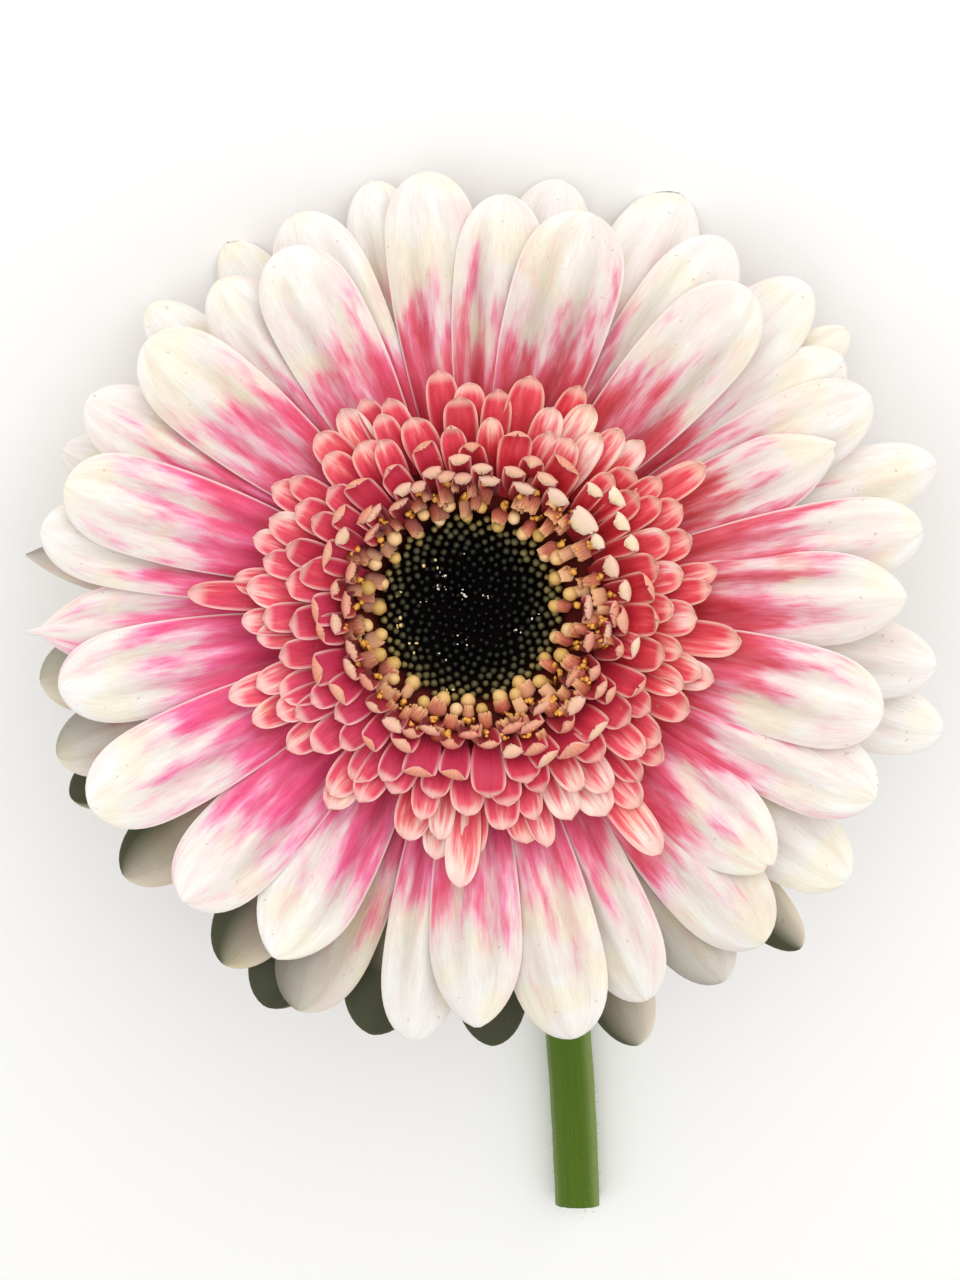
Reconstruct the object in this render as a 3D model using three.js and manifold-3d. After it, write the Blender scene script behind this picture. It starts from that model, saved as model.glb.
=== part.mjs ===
// A cut gerbera lying on a flat surface: a short stem, a cup of green bracts, long ray petals
// round rows of short ones, a ring of open florets and a dark eye of closed buds.
// Millimetres, +Z up, the surface at z = 0. The stem lies along -Y and the head looks up
// and away from it, resting on the tips of two back petals.
import * as THREE from 'three';
import Module from 'manifold-3d';
import { mergeVertices } from 'three/addons/utils/BufferGeometryUtils.js';

const wasm = await Module();
wasm.setup();

// ---- driving dimensions ----
const GAP = 0.3;
const HEAD_TILT = THREE.MathUtils.degToRad(26);
const HEAD_CENTRE = new THREE.Vector3(-1.8, 28.7, 26.8);
const GROUND_SIZE = 300;
const GROUND_DEPTH = 40;

const STEM_RADIUS = 3.2;
const STEM_SIDES = 12;
const STEM_REST_HEIGHT = 3.1;
const STEM_END = 107.6;
const STEM_SWAY = 17.6;
const STEM_SWAY_LENGTH = 38;
const NECK_RADIUS = 19.6;
const STEM_STEPS = 22;
// The cut at the stem's end leans back by this much from square.
const CUT_SLANT = THREE.MathUtils.degToRad(26);

const CUP_DEPTH = 14;
const CUP_FOOT_RADIUS = 3.6;
const CUP_RIM_RADIUS = 12.8;
const CUP_RIM_HEIGHT = -2.2;
const CUP_WALL_HEIGHTS = [-12.6, -10.4, -7];
const CUP_SIDES = 20;
const BRACT_THICKNESS = 0.9;
const BRACT_ROOT_DEPTH = 0.5;
const BRACT_TAPER = 0.35;
const BRACT_HOLLOW = 0.2;
const BRACT_ROWS = [
  { count: 12, low: -12.4, tip: [12.6, -7.4], width: 3.2 },
  { count: 12, low: -10.2, tip: [14.6, -5.0], width: 3 },
  { count: 12, low: -7.4, tip: [16.2, -3.6], width: 2.8 },
];

const PETAL_ROOT_RADIUS = 10;
const PETAL_THICKNESS = 1.0;
const PETAL_ARCH = 0.1;
// Midrib height along a petal, s from 0 at its root to 1 at its tip: root + climb * s + fall * s^2.
const PETAL_ROOT_HEIGHT = { base: -1.2, perTier: 0.8 };
const PETAL_CLIMB = { base: 4.16, perTier: 1.9 };
const PETAL_FALL = { base: -7.76, perTier: 0.9 };
// Share of the greatest width at each share of a petal's length.
const PETAL_WIDTHS = [
  [0, 0.32], [0.42, 0.64], [0.72, 1], [0.88, 0.88], [0.965, 0.56], [1, 0],
];
// Each long petal: azimuth in degrees, reach, width, tier (3 in front, 0 at the back).
const PETALS = [
  [1, 54.4, 11.9, 3], [9.5, 57.5, 11, 2.4], [17, 62.2, 9.8, 0], [23.5, 50.6, 10, 2],
  [27.5, 57, 11.3, 1.4], [33.5, 56.7, 10.6, 0.8], [36, 59.6, 7.5, 0], [43.5, 59, 11, 0.9],
  [49, 52.5, 12.3, 3], [55, 56, 11.3, 2], [63, 59, 11.9, 1], [73, 51, 13.5, 3.2],
  [78, 55.1, 11.3, 1], [85, 51.5, 11.3, 2.6], [96, 54.6, 11.9, 2.2], [103, 55.1, 10, 1],
  [114, 53.8, 11.9, 2], [118, 50.1, 12.3, 3], [124, 56.1, 8.8, 0], [128, 51.6, 10.6, 2],
  [137, 56.1, 8.8, 0], [141, 52, 12.5, 3], [152, 54.6, 11, 2], [159, 55.7, 8.8, 0],
  [163.5, 52.6, 12.3, 3.1], [170, 54.6, 11.3, 2.3], [173.5, 57, 7.5, 0],
  [183.5, 56.1, 11, 1.8], [191.5, 52.4, 11.8, 2.7], [190, 55.7, 11.3, 0],
  [200, 55.6, 10.6, 1], [205.5, 56.5, 8.8, 0], [208, 53.5, 12.5, 3.3], [218, 55.6, 10.6, 1],
  [226, 51.4, 12.3, 3], [235.5, 55.1, 10.6, 1], [241, 50.4, 12.5, 2.6], [243, 57.4, 11, 0],
  [247, 55.6, 11.9, 1.2], [257, 56.1, 11, 0], [262.5, 55.1, 10.1, 2], [271, 52.6, 11.6, 3],
  [273, 56.2, 10, 0], [283.5, 55.7, 12.3, 2.6], [291, 60, 9.4, 0], [294, 54.4, 10.6, 1.9],
  [304, 57.4, 10.6, 1], [311, 56.2, 12.5, 2], [314, 60.7, 7.5, 0], [319, 50, 11.9, 2.7],
  [324, 59.1, 11.9, 1], [334.5, 56, 11.9, 2.9], [345, 53, 12.5, 3.5], [345, 62.4, 10, 0],
  [352.5, 59.5, 10.6, 1],
];
// Back petals whose tips bend down to the surface: azimuth and how far the tip drops.
const RESTING_TIPS = [[63, 3.2], [124, 2.5]];
// The bed that the long petals grow from: radius and height.
const BED_PROFILE = [[0, -1.9], [CUP_RIM_RADIUS, -1.9], [13.4, 0], [12.6, 2.2], [0, 2.2]];
const BED_SIDES = 24;

const GOLDEN_ANGLE = THREE.MathUtils.degToRad(137.508);
const RAY_COUNT = 100;
const RAY_TIP_RADII = [19.2, 30.6];
const RAY_TIP_HEIGHTS = [12.3, 7.4];
const RAY_ROOT_SHARE = 0.62;
const RAY_WIDEST_AT = 0.76;
// The ring-shaped seat that the short rays grow from: radius and height, closed.
const SEAT_PROFILE = [[16, 4], [19.4, 4.9], [19.4, 5.3], [17, 8.2], [16, 8.2], [16, 4]];
const SEAT_SIDES = 28;
const RAY_ROOT_RADII = [17, 18.2];
const RAY_ROOT_HEIGHTS = [7, 5.2];
const RAY_WIDTH = 4.4;
const RAY_THICKNESS = 0.8;
const RAY_CUP = 0.3;
const RAY_SHIFT = new THREE.Vector3(1, -0.9, 0);
// A few short rays run out over the long petals: azimuth in degrees, reach.
const LONG_RAYS = [
  [33, 33.5], [66, 30.8], [99.5, 30.4], [124, 30.4], [176, 36.2], [199, 32.8],
  [266, 34.2], [307, 37.5], [353.5, 32.8],
];

const FLORET_COUNT = 52;
const FLORET_TIP_RADII = [12.8, 16.4];
const FLORET_TIP_HEIGHTS = [9.2, 11.8];
const FLORET_ROOT = [13.9, 6.2];
const FLORET_WIDTH = 3.3;
const FLORET_THICKNESS = 1.3;
const FLORET_BEND_AT = 0.8;

const EYE_RADIUS = 12.3;
const EYE_FLOOR_HEIGHT = 3.1;
const EYE_RIM_HEIGHT = 6.4;
const EYE_DIP = 2;
const EYE_STEP_RADII = [10, 7, 4];
const EYE_SIDES = 28;
const EYE_SHIFT = new THREE.Vector3(-0.1, -0.5, 0);
// The ring that the open florets grow from, round the eye.
const COLLAR_INNER = EYE_RADIUS + GAP;
const COLLAR_PROFILE = [
  [COLLAR_INNER, 3.6], [15.6, 3.8], [15.6, 7], [14, 7.9], [COLLAR_INNER, 7], [COLLAR_INNER, 3.6],
];
const BUD_COUNT = 92;
const BUD_SPACING = 1.14;
const BUD_RADIUS = 0.85;
const BUD_HEIGHT = 1.1;

// ---- colours ----
const STEM_GREEN = 0x5d8030;
const BRACT_GREEN = 0x6f8a45;
const PETAL_CREAM = 0xf3e3d6;
const RAY_CORAL = 0xe06a78;
const FLORET_PEACH = 0xdb9a76;
const BUD_DARK = 0x23281a;

// ---- shapes ----
const lerp = THREE.MathUtils.lerp;

function alongProfile(profile, s) {
  const next = profile.findIndex(([at]) => at >= s);
  if (next <= 0) return profile[0][1];
  const [s0, v0] = profile[next - 1];
  const [s1, v1] = profile[next];
  return lerp(v0, v1, (s - s0) / (s1 - s0));
}

function toSolid(geometry) {
  const plain = geometry.clone();
  plain.deleteAttribute('normal');
  plain.deleteAttribute('uv');
  const merged = mergeVertices(plain, 1e-4);
  return new wasm.Manifold(new wasm.Mesh({
    numProp: 3,
    vertProperties: new Float32Array(merged.attributes.position.array),
    triVerts: new Uint32Array(merged.index.array),
  }));
}

function toGeometry(solid) {
  const { vertProperties, triVerts } = solid.getMesh();
  const geometry = new THREE.BufferGeometry();
  geometry.setAttribute('position', new THREE.BufferAttribute(vertProperties, 3));
  geometry.setIndex(new THREE.BufferAttribute(triVerts, 1));
  geometry.computeVertexNormals();
  return geometry;
}

function joinAll(geometries) {
  return geometries.map(toSolid).reduce((whole, piece) => whole.add(piece));
}

function turned(profile, segments) {
  const points = profile.map(([radius, height]) => new THREE.Vector2(radius, height));
  return new THREE.LatheGeometry(points, segments).rotateX(Math.PI / 2);
}

// A closed blade. Each station is a lens of four points: left edge, crest, right edge and keel,
// and the last one is the tip. Both faces are split along like diagonals.
function blade(stations) {
  const corners = [];
  for (const { at, side, up, half, thick, arch } of stations.slice(0, -1)) {
    corners.push(at.clone().addScaledVector(side, -half).addScaledVector(up, -arch));
    corners.push(at.clone().addScaledVector(up, thick / 2));
    corners.push(at.clone().addScaledVector(side, half).addScaledVector(up, -arch));
    corners.push(at.clone().addScaledVector(up, -thick / 2));
  }
  corners.push(stations.at(-1).at);
  const faces = [0, 2, 1, 0, 3, 2];
  for (let i = 0; i < stations.length - 2; i++) {
    const [left, crest, right, keel] = [0, 1, 2, 3].map((n) => 4 * i + n);
    const [left2, crest2, right2, keel2] = [4, 5, 6, 7].map((n) => 4 * i + n);
    faces.push(left, crest, crest2, left, crest2, left2);
    faces.push(crest, right, crest2, right, right2, crest2);
    faces.push(right, keel, keel2, right, keel2, right2);
    faces.push(keel, left, keel2, left, left2, keel2);
  }
  const tip = corners.length - 1;
  const [left, crest, right, keel] = [4, 3, 2, 1].map((n) => tip - n);
  faces.push(left, crest, tip, crest, right, tip, right, keel, tip, keel, left, tip);
  const geometry = new THREE.BufferGeometry().setFromPoints(corners);
  return geometry.setIndex(faces);
}

// A blade that leaves the axis at an azimuth. line(s) gives [radius, height] of its midrib.
function radialBlade({ azimuth, line, stops, width, thickness, arch, shift }) {
  const out = new THREE.Vector3(Math.cos(azimuth), Math.sin(azimuth), 0);
  const side = new THREE.Vector3(out.y, -out.x, 0);
  const along = (s) => {
    const [radius, height] = line(s);
    return out.clone().multiplyScalar(radius).setZ(height);
  };
  const stations = stops.map((s) => {
    const ahead = along(Math.min(s + 0.02, 1)).sub(along(Math.max(s - 0.02, 0))).normalize();
    const moved = along(s);
    if (shift) moved.addScaledVector(shift, s);
    return {
      at: moved,
      side,
      up: new THREE.Vector3().crossVectors(side, ahead),
      half: width(s) / 2,
      thick: thickness,
      arch: arch(s),
    };
  });
  return blade(stations);
}

// ---- the stem ----
class StemLine extends THREE.Curve {
  getPoint(t, target = new THREE.Vector3()) {
    const start = Math.PI / 2 - HEAD_TILT;
    const reach = (CUP_DEPTH + GAP) * Math.sin(HEAD_TILT);
    const drop = (CUP_DEPTH + GAP) * Math.cos(HEAD_TILT);
    const neck = NECK_RADIUS * Math.sin(start);
    const run = t * (STEM_END - reach);
    const heading = run < neck ? Math.asin((neck - run) / NECK_RADIUS) : 0;
    const sunk = NECK_RADIUS * (Math.cos(heading) - Math.cos(start));
    const sway = STEM_SWAY * run * run / (run * run + STEM_SWAY_LENGTH ** 2);
    const height = Math.max(HEAD_CENTRE.z - drop - sunk, STEM_REST_HEIGHT);
    return target.set(HEAD_CENTRE.x + sway, HEAD_CENTRE.y - reach - run, height);
  }
}

function stem() {
  const section = new THREE.Shape();
  for (let i = 0; i < STEM_SIDES; i++) {
    const angle = (i / STEM_SIDES) * 2 * Math.PI;
    const [x, y] = [STEM_RADIUS * Math.cos(angle), STEM_RADIUS * Math.sin(angle)];
    if (i === 0) section.moveTo(x, y);
    else section.lineTo(x, y);
  }
  const tube = new THREE.ExtrudeGeometry(section, {
    steps: STEM_STEPS, extrudePath: new StemLine(), bevelEnabled: false, curveSegments: 1,
  });
  const position = tube.attributes.position;
  const end = HEAD_CENTRE.y - STEM_END;
  for (let i = 0; i < position.count; i++) {
    const height = Math.max(position.getZ(i), 0);
    position.setZ(i, height);
    if (position.getY(i) > end + STEM_RADIUS / 2) continue;
    position.setY(i, end + (height - STEM_REST_HEIGHT) * Math.tan(CUT_SLANT));
  }
  return toGeometry(toSolid(tube));
}

// ---- the head, in its own frame: +Z is its axis ----
function cupRadius(height) {
  const up = (height + CUP_DEPTH) / (CUP_RIM_HEIGHT + CUP_DEPTH);
  return lerp(CUP_FOOT_RADIUS, CUP_RIM_RADIUS, Math.sin(Math.PI / 2 * Math.min(up, 1)));
}

function involucre() {
  const heights = [-CUP_DEPTH, ...CUP_WALL_HEIGHTS, CUP_RIM_HEIGHT];
  const wall = heights.map((height) => [cupRadius(height), height]);
  const pieces = [turned([[0, -CUP_DEPTH], ...wall, [0, CUP_RIM_HEIGHT]], CUP_SIDES)];
  BRACT_ROWS.forEach(({ count, low, tip, width }, row) => {
    for (let i = 0; i < count; i++) {
      pieces.push(radialBlade({
        azimuth: ((i + row / 3) / count) * 2 * Math.PI,
        line: (s) => {
          const height = lerp(low, tip[1], s);
          return [lerp(cupRadius(height) - BRACT_ROOT_DEPTH, tip[0], s ** 2), height];
        },
        stops: [0, 0.55, 1],
        width: (s) => width * (1 - BRACT_TAPER * s),
        thickness: BRACT_THICKNESS,
        arch: () => -BRACT_HOLLOW,
      }));
    }
  });
  return toGeometry(joinAll(pieces));
}

function petalLine(azimuth, reach, tier) {
  const [root, climb, fall] = [PETAL_ROOT_HEIGHT, PETAL_CLIMB, PETAL_FALL].map(
    ({ base, perTier }) => base + perTier * tier,
  );
  const resting = RESTING_TIPS.find(([at]) => at === azimuth);
  const drop = resting ? resting[1] : 0;
  return (s) => [
    lerp(PETAL_ROOT_RADIUS, reach, s),
    root + climb * s + fall * s * s - drop * s ** 3,
  ];
}

function outerRays(surface) {
  const pieces = PETALS.map(([azimuth, reach, width, tier]) => radialBlade({
    azimuth: THREE.MathUtils.degToRad(azimuth),
    line: petalLine(azimuth, reach, tier),
    stops: PETAL_WIDTHS.map(([s]) => s),
    width: (s) => width * alongProfile(PETAL_WIDTHS, s),
    thickness: PETAL_THICKNESS,
    arch: (s) => PETAL_ARCH * width * alongProfile(PETAL_WIDTHS, s),
  }));
  const bed = turned(BED_PROFILE, BED_SIDES);
  return toGeometry(joinAll([bed, ...pieces]).subtract(surface));
}

function innerRays() {
  const seat = turned(SEAT_PROFILE, SEAT_SIDES);
  const rays = [];
  for (let k = 0; k < RAY_COUNT; k++) {
    const share = k / (RAY_COUNT - 1);
    const [inner, outer] = RAY_TIP_RADII;
    const reach = Math.sqrt(lerp(inner ** 2, outer ** 2, share));
    rays.push({ azimuth: k * GOLDEN_ANGLE, reach, out: (reach - inner) / (outer - inner) });
  }
  for (const [azimuth, reach] of LONG_RAYS) {
    rays.push({ azimuth: THREE.MathUtils.degToRad(azimuth), reach, out: 1 });
  }
  const pieces = rays.map(({ azimuth, reach, out }) => {
    const root = [lerp(...RAY_ROOT_RADII, out), lerp(...RAY_ROOT_HEIGHTS, out)];
    const tip = [reach, lerp(...RAY_TIP_HEIGHTS, out)];
    return radialBlade({
      azimuth,
      line: (s) => [
        lerp(root[0], tip[0], s),
        lerp(root[1], tip[1], Math.sin(Math.PI / 2 * s)),
      ],
      stops: [0, RAY_WIDEST_AT, 1],
      width: (s) => RAY_WIDTH * lerp(RAY_ROOT_SHARE, 1, s),
      thickness: RAY_THICKNESS,
      arch: () => -RAY_CUP,
      shift: RAY_SHIFT,
    });
  });
  return toGeometry(joinAll([seat, ...pieces]));
}

function discFlorets() {
  const pieces = [turned(COLLAR_PROFILE, EYE_SIDES)];
  for (let k = 0; k < FLORET_COUNT; k++) {
    const share = k / (FLORET_COUNT - 1);
    const [near, far] = FLORET_TIP_RADII;
    const reach = Math.sqrt(lerp(near ** 2, far ** 2, share));
    pieces.push(radialBlade({
      azimuth: k * GOLDEN_ANGLE,
      line: (s) => [
        lerp(FLORET_ROOT[0], reach, s ** 3),
        lerp(FLORET_ROOT[1], lerp(...FLORET_TIP_HEIGHTS, share), s),
      ],
      stops: [0, FLORET_BEND_AT, 1],
      width: (s) => FLORET_WIDTH * lerp(0.5, 1, s),
      thickness: FLORET_THICKNESS,
      arch: () => 0,
      shift: RAY_SHIFT,
    }));
  }
  return toGeometry(joinAll(pieces));
}

function eyeHeight(radius) {
  return EYE_RIM_HEIGHT - EYE_DIP * (1 - (radius / EYE_RADIUS) ** 2);
}

function discBuds() {
  const top = [EYE_RADIUS, ...EYE_STEP_RADII].map((radius) => [radius, eyeHeight(radius)]);
  const floor = [[0, EYE_FLOOR_HEIGHT], [EYE_RADIUS, EYE_FLOOR_HEIGHT]];
  const pieces = [turned([...floor, ...top, [0, eyeHeight(0)]], EYE_SIDES)];
  for (let k = 0; k < BUD_COUNT; k++) {
    const radius = BUD_SPACING * Math.sqrt(k + 0.5);
    const bud = new THREE.OctahedronGeometry(BUD_RADIUS, 0);
    bud.scale(1, 1, BUD_HEIGHT / BUD_RADIUS);
    bud.rotateZ(k * GOLDEN_ANGLE);
    bud.translate(radius * Math.cos(k * GOLDEN_ANGLE), radius * Math.sin(k * GOLDEN_ANGLE), 0);
    bud.translate(EYE_SHIFT.x, EYE_SHIFT.y, eyeHeight(radius));
    pieces.push(bud);
  }
  return toGeometry(joinAll(pieces));
}

// ---- the flower ----
function piece(name, geometry, color, roughness) {
  const material = new THREE.MeshStandardMaterial({ color, roughness, metalness: 0 });
  const mesh = new THREE.Mesh(geometry, material);
  mesh.name = name;
  return mesh;
}

const flower = new THREE.Group();
const head = new THREE.Group();
head.position.copy(HEAD_CENTRE);
head.rotation.x = -HEAD_TILT;
head.updateMatrix();
flower.add(head);

// The surface, turned into the head's frame, trims the tips that rest on it.
const ground = new THREE.BoxGeometry(GROUND_SIZE, GROUND_SIZE, GROUND_DEPTH);
ground.translate(0, 0, -GROUND_DEPTH / 2);
const surface = toSolid(ground.applyMatrix4(head.matrix.clone().invert()));

flower.add(piece('stem', stem(), STEM_GREEN, 0.6));
head.add(piece('involucre', involucre(), BRACT_GREEN, 0.65));
head.add(piece('outer_rays', outerRays(surface), PETAL_CREAM, 0.6));
head.add(piece('inner_rays', innerRays(), RAY_CORAL, 0.6));
head.add(piece('disc_florets', discFlorets(), FLORET_PEACH, 0.6));
head.add(piece('disc_buds', discBuds(), BUD_DARK, 0.5));

export default flower;
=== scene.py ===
"""A cut gerbera lying on a pale surface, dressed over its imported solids.

The head is built in its own frame, in millimetres, with +Z along its axis, and one matrix
sets it down in the scene. Every blade, bud and hair follows the same rules as the solid that
it stands for, with more of the real form on it. Tissue values such as how far a point is
along its petal ride on the mesh as attributes, and the materials read them.
"""

import logging
import math
from collections.abc import Callable, Sequence
from dataclasses import dataclass
from enum import Enum

import bpy
import numpy as np
from mathutils import Matrix, Vector

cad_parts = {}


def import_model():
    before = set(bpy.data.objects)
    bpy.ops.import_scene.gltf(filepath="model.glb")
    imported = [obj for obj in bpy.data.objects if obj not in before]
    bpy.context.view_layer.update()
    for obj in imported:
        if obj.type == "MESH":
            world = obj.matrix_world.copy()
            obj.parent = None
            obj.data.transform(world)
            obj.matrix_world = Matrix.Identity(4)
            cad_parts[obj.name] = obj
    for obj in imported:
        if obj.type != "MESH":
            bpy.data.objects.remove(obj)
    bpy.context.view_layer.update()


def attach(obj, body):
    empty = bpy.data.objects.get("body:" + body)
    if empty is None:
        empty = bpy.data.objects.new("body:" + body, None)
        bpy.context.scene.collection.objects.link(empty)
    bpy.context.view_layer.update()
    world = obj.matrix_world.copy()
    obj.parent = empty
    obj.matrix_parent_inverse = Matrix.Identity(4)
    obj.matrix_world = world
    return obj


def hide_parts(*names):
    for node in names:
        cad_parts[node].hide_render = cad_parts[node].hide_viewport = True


Array = np.ndarray
Socket = bpy.types.NodeSocket
Tree = bpy.types.NodeTree
# Places and sRGB hex colours of a colour ramp.
Stops = Sequence[tuple[float, str]]
log = logging.getLogger("gerbera")

MM = 0.001
SEED = 7
GOLDEN_ANGLE = math.radians(137.508)
# Edges that bend more than this stay sharp.
SHARP_ANGLE = math.radians(70)
# Values that each point of the plant carries for the materials.
CHANNELS = ("along", "across", "seed", "under", "blush", "cool", "tinge", "valley")


# ---- small tools ----
def lerp(low: float | Array, high: float | Array, share: float | Array) -> float | Array:
    """The value at a share of the way from low to high."""
    return low + (high - low) * share


def ease(low: float, high: float, value: float | Array) -> float | Array:
    """0 below low, 1 above high and a smooth step between them."""
    share = np.clip((value - low) / (high - low), 0.0, 1.0)
    return share * share * (3 - 2 * share)


def bell(value: float | Array, centre: float, width: float) -> float | Array:
    """A smooth bump of height 1 at centre that fades over width."""
    return np.exp(-(((value - centre) / width) ** 2))


def unit(vectors: Array) -> Array:
    """The vectors, each scaled to length 1."""
    return vectors / np.linalg.norm(vectors, axis=-1, keepdims=True)


def heading(azimuth: float) -> Array:
    """The level direction of length 1 at an azimuth in radians."""
    return np.array([math.cos(azimuth), math.sin(azimuth), 0.0])


def walk(start: Array, angles: Array, pace: float) -> Array:
    """Go one pace at each angle, in the plane of out and up.

    Args:
        start: Where the path starts: out, sideways and up.
        angles: The angle of each pace, in radians from level.
        pace: How long a pace is.

    Returns:
        The point after each pace.
    """
    steps = np.stack([np.cos(angles), np.zeros_like(angles), np.sin(angles)], axis=1)
    return start + np.cumsum(steps * pace, axis=0)


def linear(code: str) -> tuple[float, float, float, float]:
    """Turn an sRGB hex colour into the linear one that a shader takes.

    Args:
        code: Six hex digits.

    Returns:
        Red, green, blue and an alpha of 1.
    """
    parts = [int(code[i:i + 2], 16) / 255 for i in (0, 2, 4)]
    red, green, blue = (
        c / 12.92 if c <= 0.04045 else ((c + 0.055) / 1.055) ** 2.4 for c in parts
    )
    return red, green, blue, 1.0


# ---- the head's place ----
@dataclass(frozen=True)
class HeadPlace:
    """Where the head lies in the scene."""

    tilt: float = math.radians(26)
    centre: tuple[float, float, float] = (-1.8, 28.7, 26.8)
    # How far off the axis the eye and the rays lie, and between which radii that changes.
    eye_drift: tuple[float, float] = (-0.1, -0.5)
    ray_drift: tuple[float, float] = (1.1, -0.9)
    drift_radii: tuple[float, float] = (15.0, 21.5)

    def matrix(self) -> Array:
        """The matrix from millimetres in the head's frame to metres in the scene."""
        turn = Matrix.Rotation(-self.tilt, 4, "X")
        place = Matrix.Translation(Vector(self.centre)) @ turn
        return np.array(Matrix.Scale(MM, 4) @ place)

    def axis(self) -> Vector:
        """The direction that the head faces."""
        return Vector((0, math.sin(self.tilt), math.cos(self.tilt)))

    def top(self) -> Vector:
        """The direction in the head's own plane that points away from the stem."""
        return Vector((0, math.cos(self.tilt), -math.sin(self.tilt)))

    def drift(self, radius: float) -> tuple[float, float]:
        """How far the ring at a radius lies off the head's axis, to the right and up."""
        share = float(ease(*self.drift_radii, radius))
        x, y = (lerp(eye, ray, share) for eye, ray in zip(self.eye_drift, self.ray_drift))
        return x, y


# ---- mesh building ----
class Bundle:
    """Closed bodies gathered into one mesh, with the tissue values of their points."""

    def __init__(self) -> None:
        """Start with nothing in it."""
        self.points: list[Array] = []
        self.faces: list[list[int]] = []
        self.values: dict[str, list[Array]] = {name: [] for name in CHANNELS}
        self.total = 0

    def add(self, points: Array, faces: Sequence[Array], **values: float | Array) -> None:
        """Add one closed body.

        Args:
            points: Its points, one row each, in millimetres.
            faces: Blocks of faces with the same number of corners.
            **values: A number or one number a point for each channel that isn't 0.
        """
        self.points.append(points)
        for block in faces:
            self.faces.extend((block + self.total).tolist())
        for name in CHANNELS:
            given = np.asarray(values.get(name, 0.0), dtype=float)
            self.values[name].append(np.broadcast_to(given, len(points)))
        self.total += len(points)

    def build(self, name: str, place: Array) -> bpy.types.Object:
        """Make the scene's object, with nothing below the surface that it lies on.

        Args:
            name: The piece's name.
            place: The matrix from the bundle's millimetres to metres in the scene.

        Returns:
            The new object.
        """
        world = np.concatenate(self.points) @ place[:3, :3].T + place[:3, 3]
        world[:, 2] = np.maximum(world[:, 2], 0.0)
        mesh = bpy.data.meshes.new(name)
        mesh.from_pydata(world.tolist(), [], self.faces)
        mesh.shade_smooth()
        mesh.set_sharp_from_angle(angle=SHARP_ANGLE)
        for channel, blocks in self.values.items():
            layer = mesh.attributes.new(channel, "FLOAT", "POINT")
            layer.data.foreach_set("value", np.concatenate(blocks).astype(np.float32))
        obj = bpy.data.objects.new(name, mesh)
        bpy.context.scene.collection.objects.link(obj)
        return obj


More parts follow.
